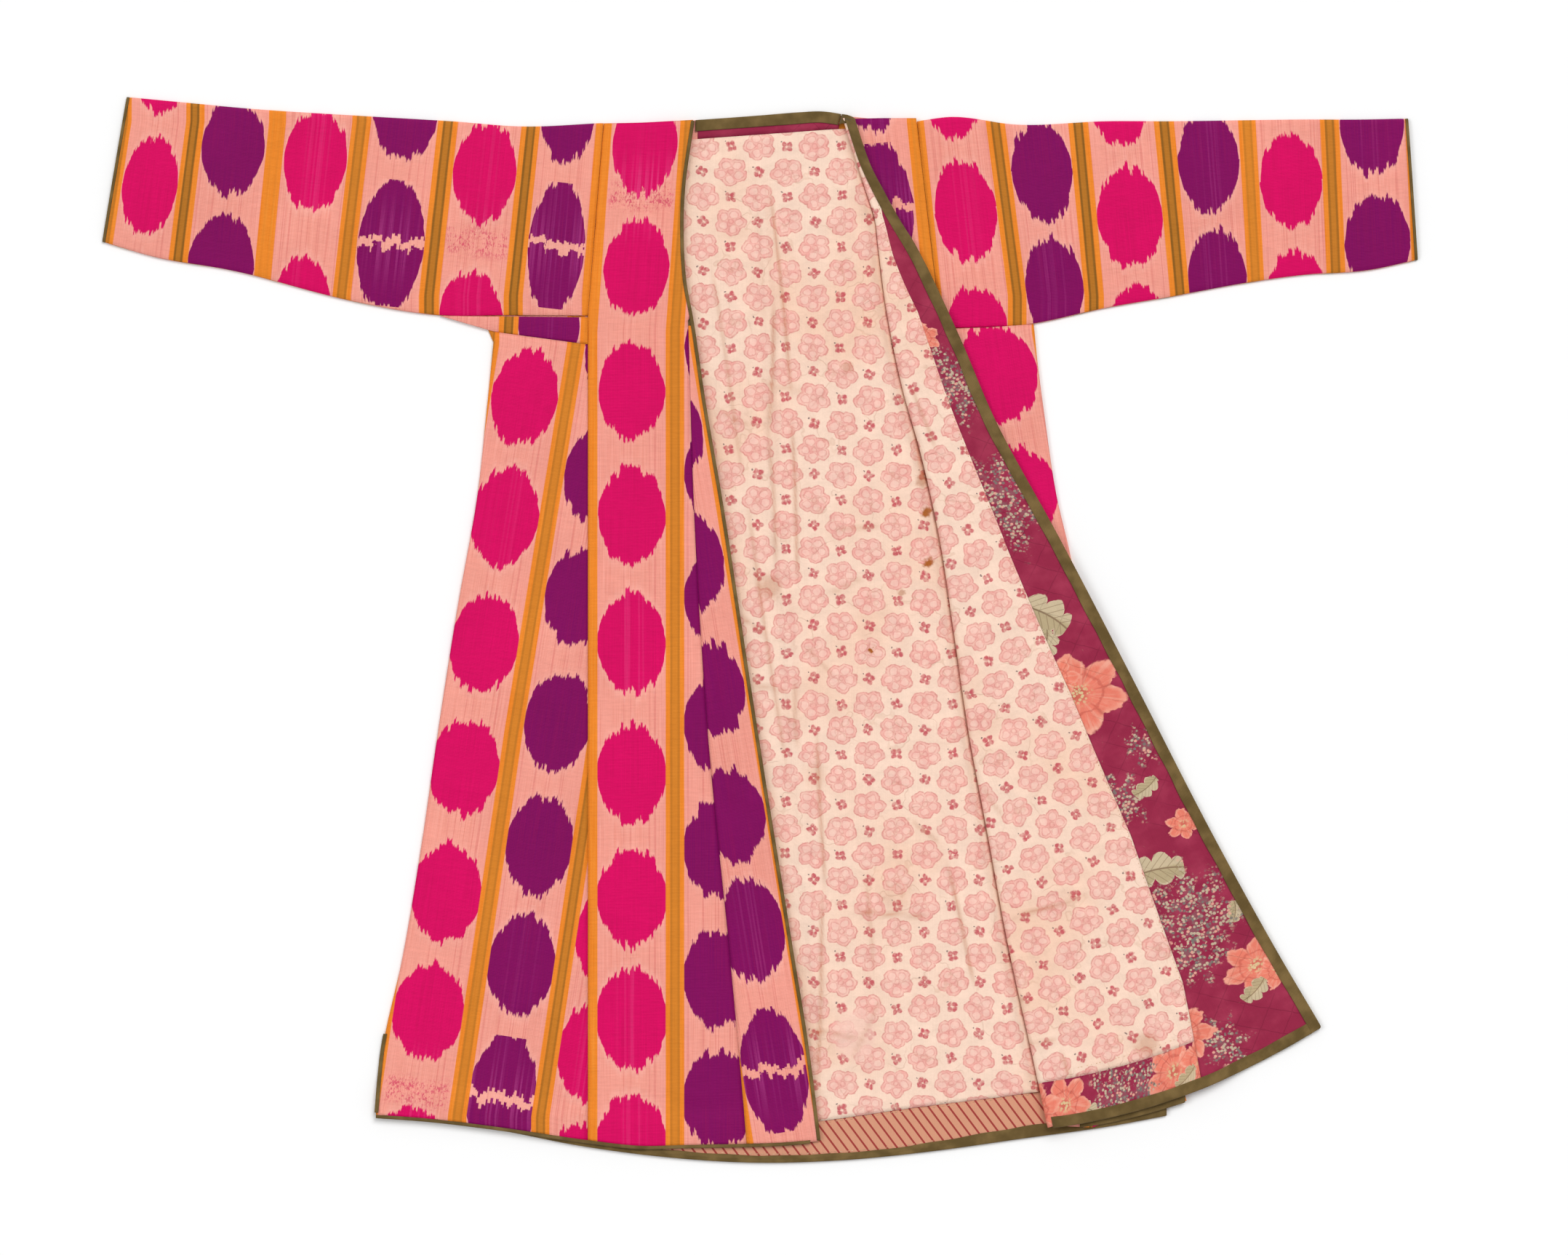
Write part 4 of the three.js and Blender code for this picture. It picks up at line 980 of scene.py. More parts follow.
def finish_material(name, tree, bump, roughness, sheen, attributes=()):
    """A cloth material whose colour and height come from a group, with its shader kept outside."""
    material = bpy.data.materials.new(name)
    material.use_nodes = True
    net = Net(material.node_tree)
    shader = material.node_tree.nodes["Principled BSDF"]
    made = net.tree.nodes.new("ShaderNodeGroup")
    made.node_tree = tree
    net.put(made.inputs[0], net.node("ShaderNodeUVMap", uv_map="Cloth"))
    for key in attributes:
        source = net.tree.nodes.new("ShaderNodeAttribute")
        source.attribute_name = key
        net.put(made.inputs[key.capitalize()], source.outputs["Fac"])
    net.put(shader.inputs["Base Color"], made.outputs["Colour"])
    shader.inputs["Roughness"].default_value = roughness
    shader.inputs["Sheen Weight"].default_value = sheen
    shader.inputs["Sheen Roughness"].default_value = 0.4
    shader.inputs["Specular IOR Level"].default_value = 0.1
    raised = net.tree.nodes.new("ShaderNodeBump")
    raised.inputs["Strength"].default_value = 0.6
    raised.inputs["Distance"].default_value = bump
    net.put(raised.inputs["Height"], made.outputs["Height"])
    net.put(shader.inputs["Normal"], raised.outputs[0])


def make_materials(colours):
    weave = weave_group()
    rosette = rosette_group()
    bias, thread, tape = plain_groups(weave)
    ikat = ikat_group(weave, colours)
    finish_material("Ikat", ikat, 0.00025, 0.58, 0.03, ("reach", "rank", "turn", "tone"))
    finish_material("Lining", lining_group(weave, rosette), 0.0002, 0.9, 0.03, ("painted_shade",))
    finish_material("Facing", facing_group(weave, bloom_group(), leaf_group()), 0.0002, 0.8, 0.03)
    finish_material("Bias stripe", bias, 0.0002, 0.85, 0.05)
    finish_material("Thread", thread, 0.0001, 0.8, 0.0)
    finish_material("Edge tape", tape, 0.0003, 0.85, 0.1)


# ---- panels ------------------------------------------------------------------------------------


def grid(rows, cols):
    return np.linspace(0, 1, rows + 1)[:, None], np.linspace(0, 1, cols + 1)[None, :]


def stack(x, y, z):
    return np.stack(np.broadcast_arrays(x, y, z), -1).astype(float)


def seam_dip(distance, depth=0.8):
    """Cloth draws down into a seam; distance is how far a point lies from it."""
    reach = 3.5
    return -depth * np.exp(-((distance / reach) ** 2))


def flat_map(u, v):
    """A cloth map from its two parts."""
    return stack(u, v, 0)[..., :2]


def ikat_shell(name, layout, x, y, z):
    """A panel of ikat cloth over a grid of middle points."""
    return shell(name, stack(x, y, z), OUTER, "Ikat", *ikat_map(layout, x, y))


def front_height(x, y, from_side, from_top, from_hem):
    """Height of the closed front's middle, which rises over the layers and tapes below its edges."""
    climb = 30  # how far from an edge the cloth has reached the next layer
    body = mix(SHOULDER, FRONT, soft(np.minimum(from_side, from_top) / climb))
    from_edge = curve(FRONT_EDGE, y) - x
    over_tape = mix(FRONT_ON_TAPE, SHOULDER, soft((from_edge - climb) / climb))
    over_hem = mix(FRONT_HEM, SHOULDER, soft((from_hem - 22) / 33))
    return np.maximum(np.maximum(body, over_tape), over_hem) + OUTER / 2


# Soft folds of the closed front: start, end, half width, height.
LEFT_CREASES = (
    (-255, -300, -300, -760, 9, 0.9), (-330, -420, -392, -900, 12, 1.1), (-240, -820, -300, -1130, 10, 0.9),
    (-150, -260, -142, -620, 8, 0.7), (-176, -640, -170, -1120, 10, 0.9), (-70, -480, -20, -1000, 7, 0.8),
    (-390, -960, -330, -1010, 9, 0.7), (-205, -520, -120, -560, 7, 0.5), (-200, -905, -90, -930, 8, 0.5),
    (-330, -640, -240, -670, 7, 0.5), (-120, -60, -110, -210, 7, 0.6), (-190, -90, -120, -150, 8, 0.5),
    (-400, -865, -350, -905, 4, -0.5), (-380, -760, -290, -775, 5, 0.5), (-300, -1010, -220, -1030, 5, 0.5),
    (-60, -760, 0, -790, 4, 0.5), (-40, -960, 30, -980, 5, 0.5), (-200, -350, -120, -372, 5, 0.4),
    (-190, -1100, -60, -1120, 6, 0.5), (-290, -420, -230, -450, 4, 0.4),
)


def front_panel(left, right, top, side_gap, top_gap, rows, cols):
    """Middle points of a panel of the closed front, from functions for its edges and gaps."""
    v, share = grid(rows, cols)
    hem = curve(HEM_LEFT, mix(left(-1150.0), right(-1150.0), share)) + EDGE
    y = mix(top(share), hem, v)
    x = mix(left(y), right(y), share)
    z = front_height(x, y, side_gap(x, y), top_gap(y), y - hem)
    return x, y, z + rumple(x, y, LEFT_CREASES, 1.5, (0.35, 95, 3), (0.2, 22, 4))


def left_front_lines():
    """x of the closed front's side seam, edge and gore seam at a given y."""
    seam = lambda y: curve(SEAM_LEFT, y, smooth=False)
    edge = lambda y: curve(FRONT_EDGE, y) - EDGE
    gore = lambda y: np.minimum(edge(y) - 1, curve(GORE_SEAM, y) - GAP / 2)
    return seam, edge, gore


def build_left_front():
    seam, edge, gore_seam = left_front_lines()
    inner = lambda y: np.where(y > GORE_TOP, edge(y), gore_seam(y))
    x, y, z = front_panel(
        lambda y: seam(y) + 0.1, inner, lambda s: curve(SHOULDER_LINE, mix(-191, -88, s)),
        lambda x, y: FAR, lambda y: -y, 230, 34)
    z = z + seam_dip(x - seam(y)) + np.where(y < GORE_TOP, seam_dip(inner(y) - x), 0)
    main = ikat_shell("Left_front_length", LEFT_MAIN, x, y, z)

    x, y, z = front_panel(
        lambda y: gore_seam(y) + 0.25, edge, lambda s: GORE_TOP - 6, lambda x, y: FAR,
        lambda y: FAR, 190, 16)
    z = z + seam_dip(x - gore_seam(y))
    gore = ikat_shell("Left_front_gore_cloth", FRONT_GORE, x, y, z)

    side = lambda y: curve(SIDE_LEFT, y)
    gusset_low = lambda s: mix(-241, -255.5, s)
    x, y, z = front_panel(
        side, lambda y: seam(y) - 0.1, gusset_low, lambda x, y: x - side(y), lambda y: FAR, 190, 44)
    z = z + seam_dip(seam(y) - x) + seam_dip(gusset_low((x + 317) / 107) - y)
    side_gore = ikat_shell("Left_side_gore_cloth", LEFT_GORE, x, y, z)

    v, share = grid(8, 36)
    x = mix(mix(-380, -317, v), -210.1, share)
    top, low = mix(-222.6, -224.4, share), gusset_low(share) + 0.2
    y = mix(top, low, v)
    z = mix(SHOULDER, FRONT, soft(share * 3)) + OUTER / 2 + seam_dip(top - y, 0.5) + seam_dip(y - low, 0.5)
    gusset = ikat_shell("Left_underarm_gusset", GUSSET, x, y, z)

    y = np.linspace(-1046, -1136, 50)
    x = curve(SIDE_LEFT, y) - 0.3
    top = front_height(x, y, 0 * x, FAR, y - curve(HEM_LEFT, x) - EDGE) + OUTER / 2
    lift = top - SHOULDER - OUTER + 0.9 * soft((-1130 - y) / 6)
    opening = tape("Side_opening_tape", stack(x, y, lift), stack(x + 10, y, lift), SHOULDER + OUTER,
                   4.6, 0, on_floor=True, alone=False)
    return main, gore, side_gore, gusset, opening


def sleeve_grid(rows_table, around, lengthwise):
    """Rings of a flattened sleeve from its seam to its cuff; the first half of a ring lies below."""
    table = np.array(rows_table, float)
    run = running(np.hypot(*np.diff(table[:, :2], axis=0).T))
    at = np.linspace(0, run[-1], lengthwise + 1)
    top_x, top_y, low_x, low_y, high = (curve(tuple(zip(run, table[:, k])), at)[:, None] for k in range(5))
    turn = np.linspace(0, 2 * np.pi, around, endpoint=False)[None, :]
    across = (1 - np.cos(turn)) / 2
    upper = turn > np.pi
    wide = np.hypot(low_x - top_x, low_y - top_y)
    rounding = np.sqrt(np.clip(np.minimum(across, 1 - across) * wide / 3.0, 0, 1))
    height = mix(SLEEVE_EDGE, high, np.sin(np.pi * across) ** 0.6)
    x, y = mix(top_x, low_x, across), mix(top_y, low_y, across)
    z = mix(SLEEVE_EDGE / 2, np.where(upper, height - OUTER / 2, OUTER / 2), rounding)
    return x, y, z, np.broadcast_to(upper, x.shape), top_y, across


AROUND = 96  # points round a sleeve
# Folds of the sleeves: start, end, half width, height.
SLEEVE_CREASES = (
    (-300, -215, -420, -60, 10, 1.0), (-330, -190, -560, -90, 12, 0.8), (-640, -20, -700, -130, 8, 0.6),
    (-480, -10, -520, -150, 9, 0.6), (-250, -40, -270, -200, 9, 0.7), (-560, -150, -470, -110, 7, 0.5),
    (300, -215, 400, -60, 10, 1.0), (330, -195, 520, -90, 11, 0.8), (620, -20, 650, -150, 8, 0.6),
    (470, -10, 520, -160, 9, 0.6), (240, -40, 262, -200, 9, 0.7), (590, -150, 480, -110, 7, 0.5),
)


def build_sleeves():
    made = []
    sides = (("Left", SLEEVE_LEFT, LEFT_SLEEVE_CLOTH), ("Right", SLEEVE_RIGHT, RIGHT_SLEEVE_CLOTH))
    for side, table, layout in sides:
        x, y, z, upper, top_y, across = sleeve_grid(table, AROUND, 120)
        relief = rumple(x, y, SLEEVE_CREASES, 1.3, (0.3, 80, 5), (0.16, 20, 6))
        z = z + np.where(upper, relief * np.sin(np.pi * across) ** 0.5, 0)
        seen_y = np.where(upper, y, 2 * top_y - y)
        uv, values = ikat_map(layout, x, seen_y)
        sleeve = shell(f"{side}_sleeve_cloth", stack(x, y, z), OUTER, "Ikat", uv, values, closed=True)
        made.append((sleeve, cuff_tape(f"{side}_cuff_tape", table)))
    return made


def cuff_tape(name, table):
    """The narrow tape that closes the end of a sleeve."""
    before, end = np.array(table, float)[-2:]
    step = end[:4] - before[:4]
    step /= np.repeat([np.hypot(*step[:2]), np.hypot(*step[2:])], 2)
    rows = [np.append(end[:4] + step * out, end[4]) for out in (0.2, 0.2 + CUFF_TAPE / 2, 0.2 + CUFF_TAPE)]
    x, y, z, *_ = sleeve_grid(rows, AROUND, 6)
    uv = flat_map(np.linspace(0, 4, 7)[:, None], y)
    return shell(name, stack(x, y, z), OUTER, "Edge tape", uv, closed=True)


def under_sleeve(x):
    """Where the lower edge of the right sleeve lies, which the gores below it meet."""
    return curve(((195, -237.3), (250, -235.4), (301, -231.6)), x, False)


def build_back():
    v, share = grid(60, 60)
    pick = mix(-210.0, 195.0, share)
    inset = np.where(np.abs(pick) < 88, EDGE, 0.0)
    y = mix(curve(SHOULDER_LINE, pick, False) - inset, curve(HEM_BACK, pick) + EDGE, v)
    x = mix(curve(SEAM_LEFT, y, False) + 0.1, curve(SEAM_RIGHT, y, False) - 0.1, share)
    panel = ikat_shell("Back_length", BACK, x, y, OUTER / 2)

    v, share = grid(60, 20)
    y = mix(-222.5, curve(HEM_BACK, mix(-453.0, -210.1, share)) + EDGE, v)
    outer = np.where(y > -240, np.interp(y, (-240, -222), (-317, -382)), curve(SIDE_LEFT, y))
    x = mix(outer, -210.1, share)
    left = ikat_shell("Back_left_gore_cloth", LEFT_GORE, x, y, OUTER / 2)

    y = mix(under_sleeve(mix(195.1, 301.0, share)), curve(HEM_BACK, mix(195.1, 454.0, share)) + EDGE, v)
    x = mix(195.1, curve(SIDE_RIGHT, y), share)
    right = ikat_shell("Back_right_gore_cloth", RIGHT_GORE, x, y, OUTER / 2)
    return panel, left, right


# Folds of the back lining: start, end, half width, height.
LINING_CREASES = (
    (-14, -20, 6, -440, 7, 4.2), (4, -400, 30, -760, 8, 4.0), (26, -700, 60, -1060, 9, 3.0),
    (-2, -60, 26, -330, 5, -0.8), (24, -300, 66, -760, 7, 1.6), (60, -120, 92, -420, 10, 1.3),
    (120, -380, 160, -700, 12, 1.8), (96, -700, 140, -1100, 11, 1.6), (-60, -120, -52, -420, 9, 1.0),
    (90, -905, 185, -912, 5, 1.2), (70, -895, 290, -900, 6, 0.9), (150, -760, 200, -1080, 8, 1.4),
    (50, -90, 118, -70, 7, 0.9), (-20, -520, 60, -505, 6, 0.6), (180, -960, 230, -1100, 9, 1.2),
    (-70, -60, 60, -40, 6, 0.7), (4, -200, -2, -370, 3, 0.8), (-2, -350, 8, -520, 3, 0.7),
    (24, -330, 32, -540, 3.5, 0.8), (52, -690, 62, -890, 4, 0.9), (60, -870, 54, -1110, 4, 0.9),
    (-70, -150, -30, -420, 4, 0.5), (-30, -420, 20, -760, 4, 0.6), (110, -520, 60, -545, 3, 0.4),
    (-10, -300, 40, -310, 3, 0.4), (150, -250, 176, -420, 4, 0.7), (30, -1040, 110, -1052, 4, 0.5),
    (200, -840, 236, -1000, 4, 0.8), (90, -1080, 130, -1000, 4, 0.4), (-24, -645, 20, -652, 3, 0.6),
    (26, -636, 29, -722, 2.5, 0.5), (-34, -566, -6, -590, 3, 0.5), (-60, -330, -20, -352, 3, 0.5),
    (70, -470, 130, -462, 3, 0.4), (110, -860, 118, -980, 3, 0.4), (160, -800, 196, -830, 3, 0.5),
    (40, -600, 74, -640, 3, 0.4),
)


def crease_shading(x, y, table):
    """How much painted shade darkens the cloth along the narrow creases of a table."""
    narrow, width = 5, 2.4
    thin = [(*ends, width, 0.8 * min(1, abs(high) + 0.2)) for *ends, half, high in table if half <= narrow]
    return np.clip(creases(x, y, thin), 0, 1)


def build_back_lining():
    v, share = grid(210, 128)
    guess = mix(-15.0, -1130.0, v)
    left, right = curve(FRONT_EDGE, guess) - 26, along_at_y(FOLD, guess) + 20
    x = mix(left, right, share)
    y = mix(curve(LINING_TOP, x, False), curve(HEM_FACING_TOP, x, False) + 0.2, v)
    flat_edge = soft((x - left - 28) / 14) * soft((right - x - 20) / 14)
    relief = rumple(x, y, LINING_CREASES, 1.3, (0.6, 70, 8), (0.34, 19, 9))
    z = BACK_LINING + LINING / 2 + relief * flat_edge
    uv = flat_map(x - 80.8, -(y + 288.7))
    to_fold = along_at_y(FOLD, y) - x
    bump = lambda off, reach: np.exp(-((off / reach) ** 2))
    # Painted shade beside the turned front's fold and beside the closed front's edge, where they cast shadows on the
    # lining.
    beside = 0.35 * bump(to_fold - 4, 5) + 0.5 * bump(x - curve(FRONT_EDGE, y), 8)
    z = z + 4.6 * bump(np.maximum(to_fold - 3, 0), 7) * soft((to_fold - 0.2) / 2.4) * soft((-30 - y) / 80)
    painted_shade = np.clip(crease_shading(x, y, LINING_CREASES) + beside, 0, 1)
    lining = shell("Back_lining_cloth", stack(x, y, z), LINING, "Lining", uv, {"painted_shade": painted_shade})

    v, share = grid(10, 90)
    x = mix(-140.0, 338.0, share)
    y = mix(curve(HEM_FACING_TOP, x, False), curve(HEM_BACK, x) + EDGE, v)
    z = BACK_LINING + LINING / 2 + 0.25 * (1 + waves(x, y, 26, 12)) * soft(v * 4) * soft((1 - v) * 4)
    facing = shell("Back_hem_facing_cloth", stack(x, y, z), LINING, "Bias stripe", flat_map(x, y))

    v, share = grid(4, 60)
    x = mix(-84.0, 78.0, share)
    y = mix(curve(SHOULDER_LINE, x) - EDGE, curve(LINING_TOP, x, False) + 0.2, v)
    neck = shell("Neck_facing_cloth", stack(x, y, BACK_LINING + LINING / 2), LINING, "Facing",
                 flat_map(-y + 190, x + 330))
    return lining, facing, neck


# ---- the right front, turned back along its fold --------------------------------------------------
HEM_BOW = 19.0  # how far the turned hem bows below a straight line
TAIL = 40.0  # cloth before the turn that runs straight into it
HEM_SHARE = 0.957  # where the hem facing begins, as a share of the fold
HEM_RISE = 0.023  # share of the fold over which the cloth climbs onto the hem tapes
FLAP_ROWS = 230
HEM_ROW = round(FLAP_ROWS * HEM_SHARE)


def turn_radius(t):
    """Radius of the turn along the fold, which opens below the neck."""
    return mix(1.6, 4.2, soft((t - 0.1) / 0.18))


def flap_height(x, y, t):
    """Where the underside of the turned front rests: on the robe, or past its side on the floor."""
    on_robe = mix(FLAP, FLAP_HEM, soft((t - HEM_SHARE) / HEM_RISE))
    beyond = x - curve(SIDE_RIGHT_FRONT, y) - 22
    return mix(on_robe, FLAP_ON_FLOOR, soft(beyond / 65))


def right_seam(y):
    """Seam of the right front, which runs on beside the fold where the turned cloth hides it."""
    seam = curve(SEAM_RIGHT, y, False) - 0.1
    below = np.maximum(205.0, along_at_y(FOLD, y) + 52)
    return np.where(y > UNDERARM_RIGHT - 1, seam, mix(seam, below, soft((UNDERARM_RIGHT - y) / 60)))


# Folds of the turned front: start, end, half width, height.
FLAP_CREASES = (
    (210, -330, 262, -470, 8, 1.0), (262, -520, 330, -760, 10, 1.2), (330, -560, 420, -760, 8, 0.9),
    (300, -700, 372, -980, 10, 1.1), (400, -820, 470, -1010, 9, 1.0), (340, -905, 420, -930, 6, 0.9),
    (300, -880, 400, -885, 6, 0.8), (470, -880, 560, -930, 5, 0.8), (450, -800, 500, -850, 4, 0.7),
    (500, -930, 580, -1000, 5, 0.8), (380, -650, 420, -700, 4, 0.6), (420, -1000, 520, -1040, 6, 0.8),
    (330, -1060, 360, -1140, 5, 0.7), (250, -420, 290, -450, 4, 0.6), (270, -915, 362, -886, 3.5, 0.8),
    (196, -560, 222, -640, 3, 0.5), (240, -760, 268, -800, 3, 0.5), (262, -1000, 300, -1010, 3, 0.5),
    (284, -1060, 330, -1052, 3, 0.5), (520, -960, 560, -1010, 3, 0.6), (160, -300, 190, -380, 3, 0.5),
)


def turned_front(*parts):
    """Middle points of the turned-back cloth and the way its lining faces, row by row down the fold."""
    t = np.linspace(0, 1, FLAP_ROWS + 1)[:, None]
    fold_x, fold_y = along(FOLD, t)
    edge_x, edge_y = along(FLAP_EDGE, t)
    wide = np.hypot(edge_x - fold_x, edge_y - fold_y)
    way_x, way_y = (edge_x - fold_x) / wide, (edge_y - fold_y) / wide
    radius = turn_radius(t)
    outside = radius + OUTER / 2 + GAP + LINING
    centre_x, centre_y = fold_x + way_x * outside, fold_y + way_y * outside
    under = RIGHT_FRONT + OUTER / 2 + (FRONT_HEM - RIGHT_FRONT) * soft((t - HEM_SHARE) / HEM_RISE)
    reach = wide - outside - EDGE
    falls = np.minimum(80, np.maximum(4, reach - WIDE_LEAF - 8))
    shares = np.clip(curve(LINED_SHARE, t, False), 0, 1)
    points, faces, spread = [], [], []
    for kind, low, high, count in parts:
        k = np.linspace(low, high, count)[None, :]
        one = np.ones_like(t * k)
        if kind in ("under", "tail"):  # from the seam to where the lining ends, and on to the turn
            if kind == "under":
                x, y = mix(right_seam(fold_y), centre_x + TAIL, k), fold_y
            else:
                x, y = mix(centre_x + TAIL, centre_x, k), mix(fold_y, centre_y, k)
            points.append(stack(x, y, under))
            faces.append(stack(0, 0, -one))
            spread.append(centre_x - x - np.pi * radius)
        elif kind == "turn":
            angle = np.pi * k
            out = stack(-way_x * np.sin(angle), -way_y * np.sin(angle), -np.cos(angle))
            points.append(stack(centre_x, centre_y, under + radius) + out * radius[..., None])
            faces.append(out)
            spread.append((angle - np.pi) * radius)
        else:
            share = {"lined": k * shares, "faced": mix(shares, 1.0, k), "flap": k * one}[kind]
            away = share * reach
            x, y = centre_x + way_x * away, centre_y + way_y * away - HEM_BOW * t**2 * 4 * share * (1 - share)
            rest = flap_height(x, y, t) + OUTER / 2
            z = mix(under + 2 * radius, rest, soft(away / falls))
            still = soft(away / 12) * soft((reach - away) / 16)
            relief = rumple(x, y, FLAP_CREASES, 1.3, (0.6, 70, 8), (0.32, 19, 9))
            points.append(stack(x, y, z + relief * still))
            faces.append(stack(0, 0, one))
            spread.append(away * one)
    return (*(np.concatenate(made, 1) for made in (points, faces, spread)), t, fold_x)


# Parts of the turned cloth: kind, first and last share across it, number of points.
FLAP_ONLY = ("flap", 0, 1, 60)
LINED_ONLY = ("lined", 0, 1, 56)


def lean(x, y, degrees):
    """Coordinates across and down a direction that leans from straight down."""
    angle = np.radians(degrees)
    return x * np.cos(angle) + y * np.sin(angle), x * np.sin(angle) - y * np.cos(angle)


def build_right_front():
    inner = OUTER / 2 + GAP + LINING / 2
    points, _, spread, _, fold_x = turned_front(
        ("under", 0, 0.96, 16), ("tail", 0, 0.95, 12), ("turn", 0, 0.96, 14), FLAP_ONLY)
    cloth_x = np.where(spread < 0, points[..., 0], fold_x - spread)
    uv, values = ikat_map(RIGHT_SLEEVE_CLOTH, cloth_x, points[..., 1])
    front = shell("Right_front_length", points[:, ::-1], OUTER, "Ikat", uv[:, ::-1],
                  {key: data[:, ::-1] for key, data in values.items()})

    points, faces, *_ = turned_front(("tail", 0, 0.95, 10), ("turn", 0, 0.96, 16), LINED_ONLY)
    skin = (points + faces * inner)[:, ::-1]
    skin[:, 0, :2] += (skin[:, 1, :2] - skin[:, 0, :2]) * 0.05
    across, down = lean(skin[..., 0] - 420, skin[..., 1] + 800, 21)
    uv = np.stack([across, down], -1)
    # Painted shade along the narrow creases of the turned lining.
    painted_shade = crease_shading(skin[..., 0], skin[..., 1], FLAP_CREASES)
    above = slice(HEM_ROW + 1)
    lining = shell("Right_lining_cloth", skin[above], LINING, "Lining", uv[above], {"painted_shade": painted_shade[above]})
    low = skin[HEM_ROW:]
    hem_uv = np.stack([mix(330, 110, np.clip((low[..., 0] - 300) / 200, 0, 1)),
                       1150 - (low[..., 1] - low[-1:, :, 1])], -1)
    hem = shell("Right_hem_facing_cloth", low, LINING, "Facing", hem_uv)

    points, faces, spread, t, _ = turned_front(("faced", 0, 1, 40))
    start = round(FLAP_ROWS * 0.05)
    skin = (points + faces * inner)[start:, ::-1]
    inward = (spread.max(axis=1, keepdims=True) - spread)[start:, ::-1] * 0.88
    uv = np.stack([inward, np.broadcast_to(t[start:] * 1185, inward.shape)], -1)
    facing = shell("Right_front_facing_cloth", skin, LINING, "Facing", uv)

    t_rows = np.linspace(0, 1, FLAP_ROWS + 1)[:, None]
    _, fold_line = along(FOLD, t_rows)
    keep = fold_line[:, 0] < UNDERARM_RIGHT - 1.5
    t_rows, fold_line = t_rows[keep], fold_line[keep]
    share = np.linspace(0, 1, 50)[None, :]
    start_x = right_seam(fold_line) + 0.2
    hemward = soft((t_rows - 0.9) / 0.1)
    side_y = mix(fold_line, -1124 + EDGE, hemward)
    x = mix(start_x, curve(SIDE_RIGHT_FRONT, side_y), share)
    slip = fold_line - (curve(HEM_RIGHT, start_x) + EDGE)
    hem_y = curve(HEM_RIGHT, x) + EDGE + slip * (1 - share) ** 9
    y = mix(mix(fold_line, side_y, share), hem_y, soft((t_rows - 0.97) / 0.03))
    y = y + (under_sleeve(x) - 0.6 - fold_line[0]) * soft(1 - (t_rows - t_rows[0]) / 0.03)
    side = soft((curve(SIDE_RIGHT_FRONT, y) - x) / 30)
    low = mix(mix(SHOULDER, RIGHT_FRONT, side), FRONT_HEM, soft((t_rows - HEM_SHARE + 0.02) / 0.04))
    relief = 0.25 * (1 + waves(x, y, 80, 14)) * side
    z = low + OUTER / 2 + relief + seam_dip(under_sleeve(x) - y)
    gore = ikat_shell("Right_side_gore_cloth", RIGHT_GORE, x, y, z)
    return front, lining, hem, facing, gore


# ---- tapes -------------------------------------------------------------------------------------


def tape(name, edge, inner, thick, above, below, on_floor=False, widen=1.0, alone=True):
    """A tape folded round an edge. edge and inner are paired points on the underside of a panel; above
    and below are the widths of its leaves. One on the floor has no lower leaf."""
    inward = unit(inner - edge)
    top, low, half = thick + GAP + TAPE / 2, -GAP - TAPE / 2, TAPE / 2
    outer_wall = -EDGE + half
    bend = 0.8
    if on_floor:
        section = [(outer_wall, half), (outer_wall, top - bend)]
    else:
        section = [(below - EDGE, low), (mix(below - EDGE, outer_wall, 0.5), low), (outer_wall + bend, low),
                   (outer_wall + 0.25, low + 0.25), (outer_wall, low + bend), (outer_wall, top - bend)]
    section += [(outer_wall + 0.25, top - 0.25), (outer_wall + bend, top)]
    section += [(mix(outer_wall + bend, above - EDGE, k), top) for k in (0.2, 0.4, 0.6, 0.8, 0.94, 1.0)]
    across = np.array([s[0] for s in section])[None, :, None]
    high = np.array([s[1] for s in section])[None, :]
    run = line_lengths(edge)
    sway = widen + 0.045 * waves(run, 0 * run, 60, 23)
    spare = (above - EDGE) * (1 - np.mean(sway))
    sway = 1 + (sway - 1)[:, None, None] * (across > 2)
    middle = edge[:, None] + inward[:, None] * across * sway
    middle[..., 2] = np.maximum(middle[..., 2] + high, half)
    girth = running(np.hypot(np.diff(across[0, :, 0]), np.diff(high[0])))
    middle[..., 2] += 0.12 * waves(run[:, None] + 0 * high, 3 * girth[None, :], 14, 21) * (high > top - 0.1)
    uv = flat_map(girth[None, :], run[:, None])
    piece = shell(name, middle, TAPE, "Edge tape", uv)
    if alone:
        area = (girth[-1] - max(0.0, spare)) * run[-1] * MM * MM
        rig.sheet(piece, flat=(girth[-1] * MM, run[-1] * MM), held="folded", area=area)
    return piece


def hem_tape_share(x):
    """How much of the back hem tape is turned to the inside."""
    return 0.55 + 0.45 * soft((x - 120) / 170)


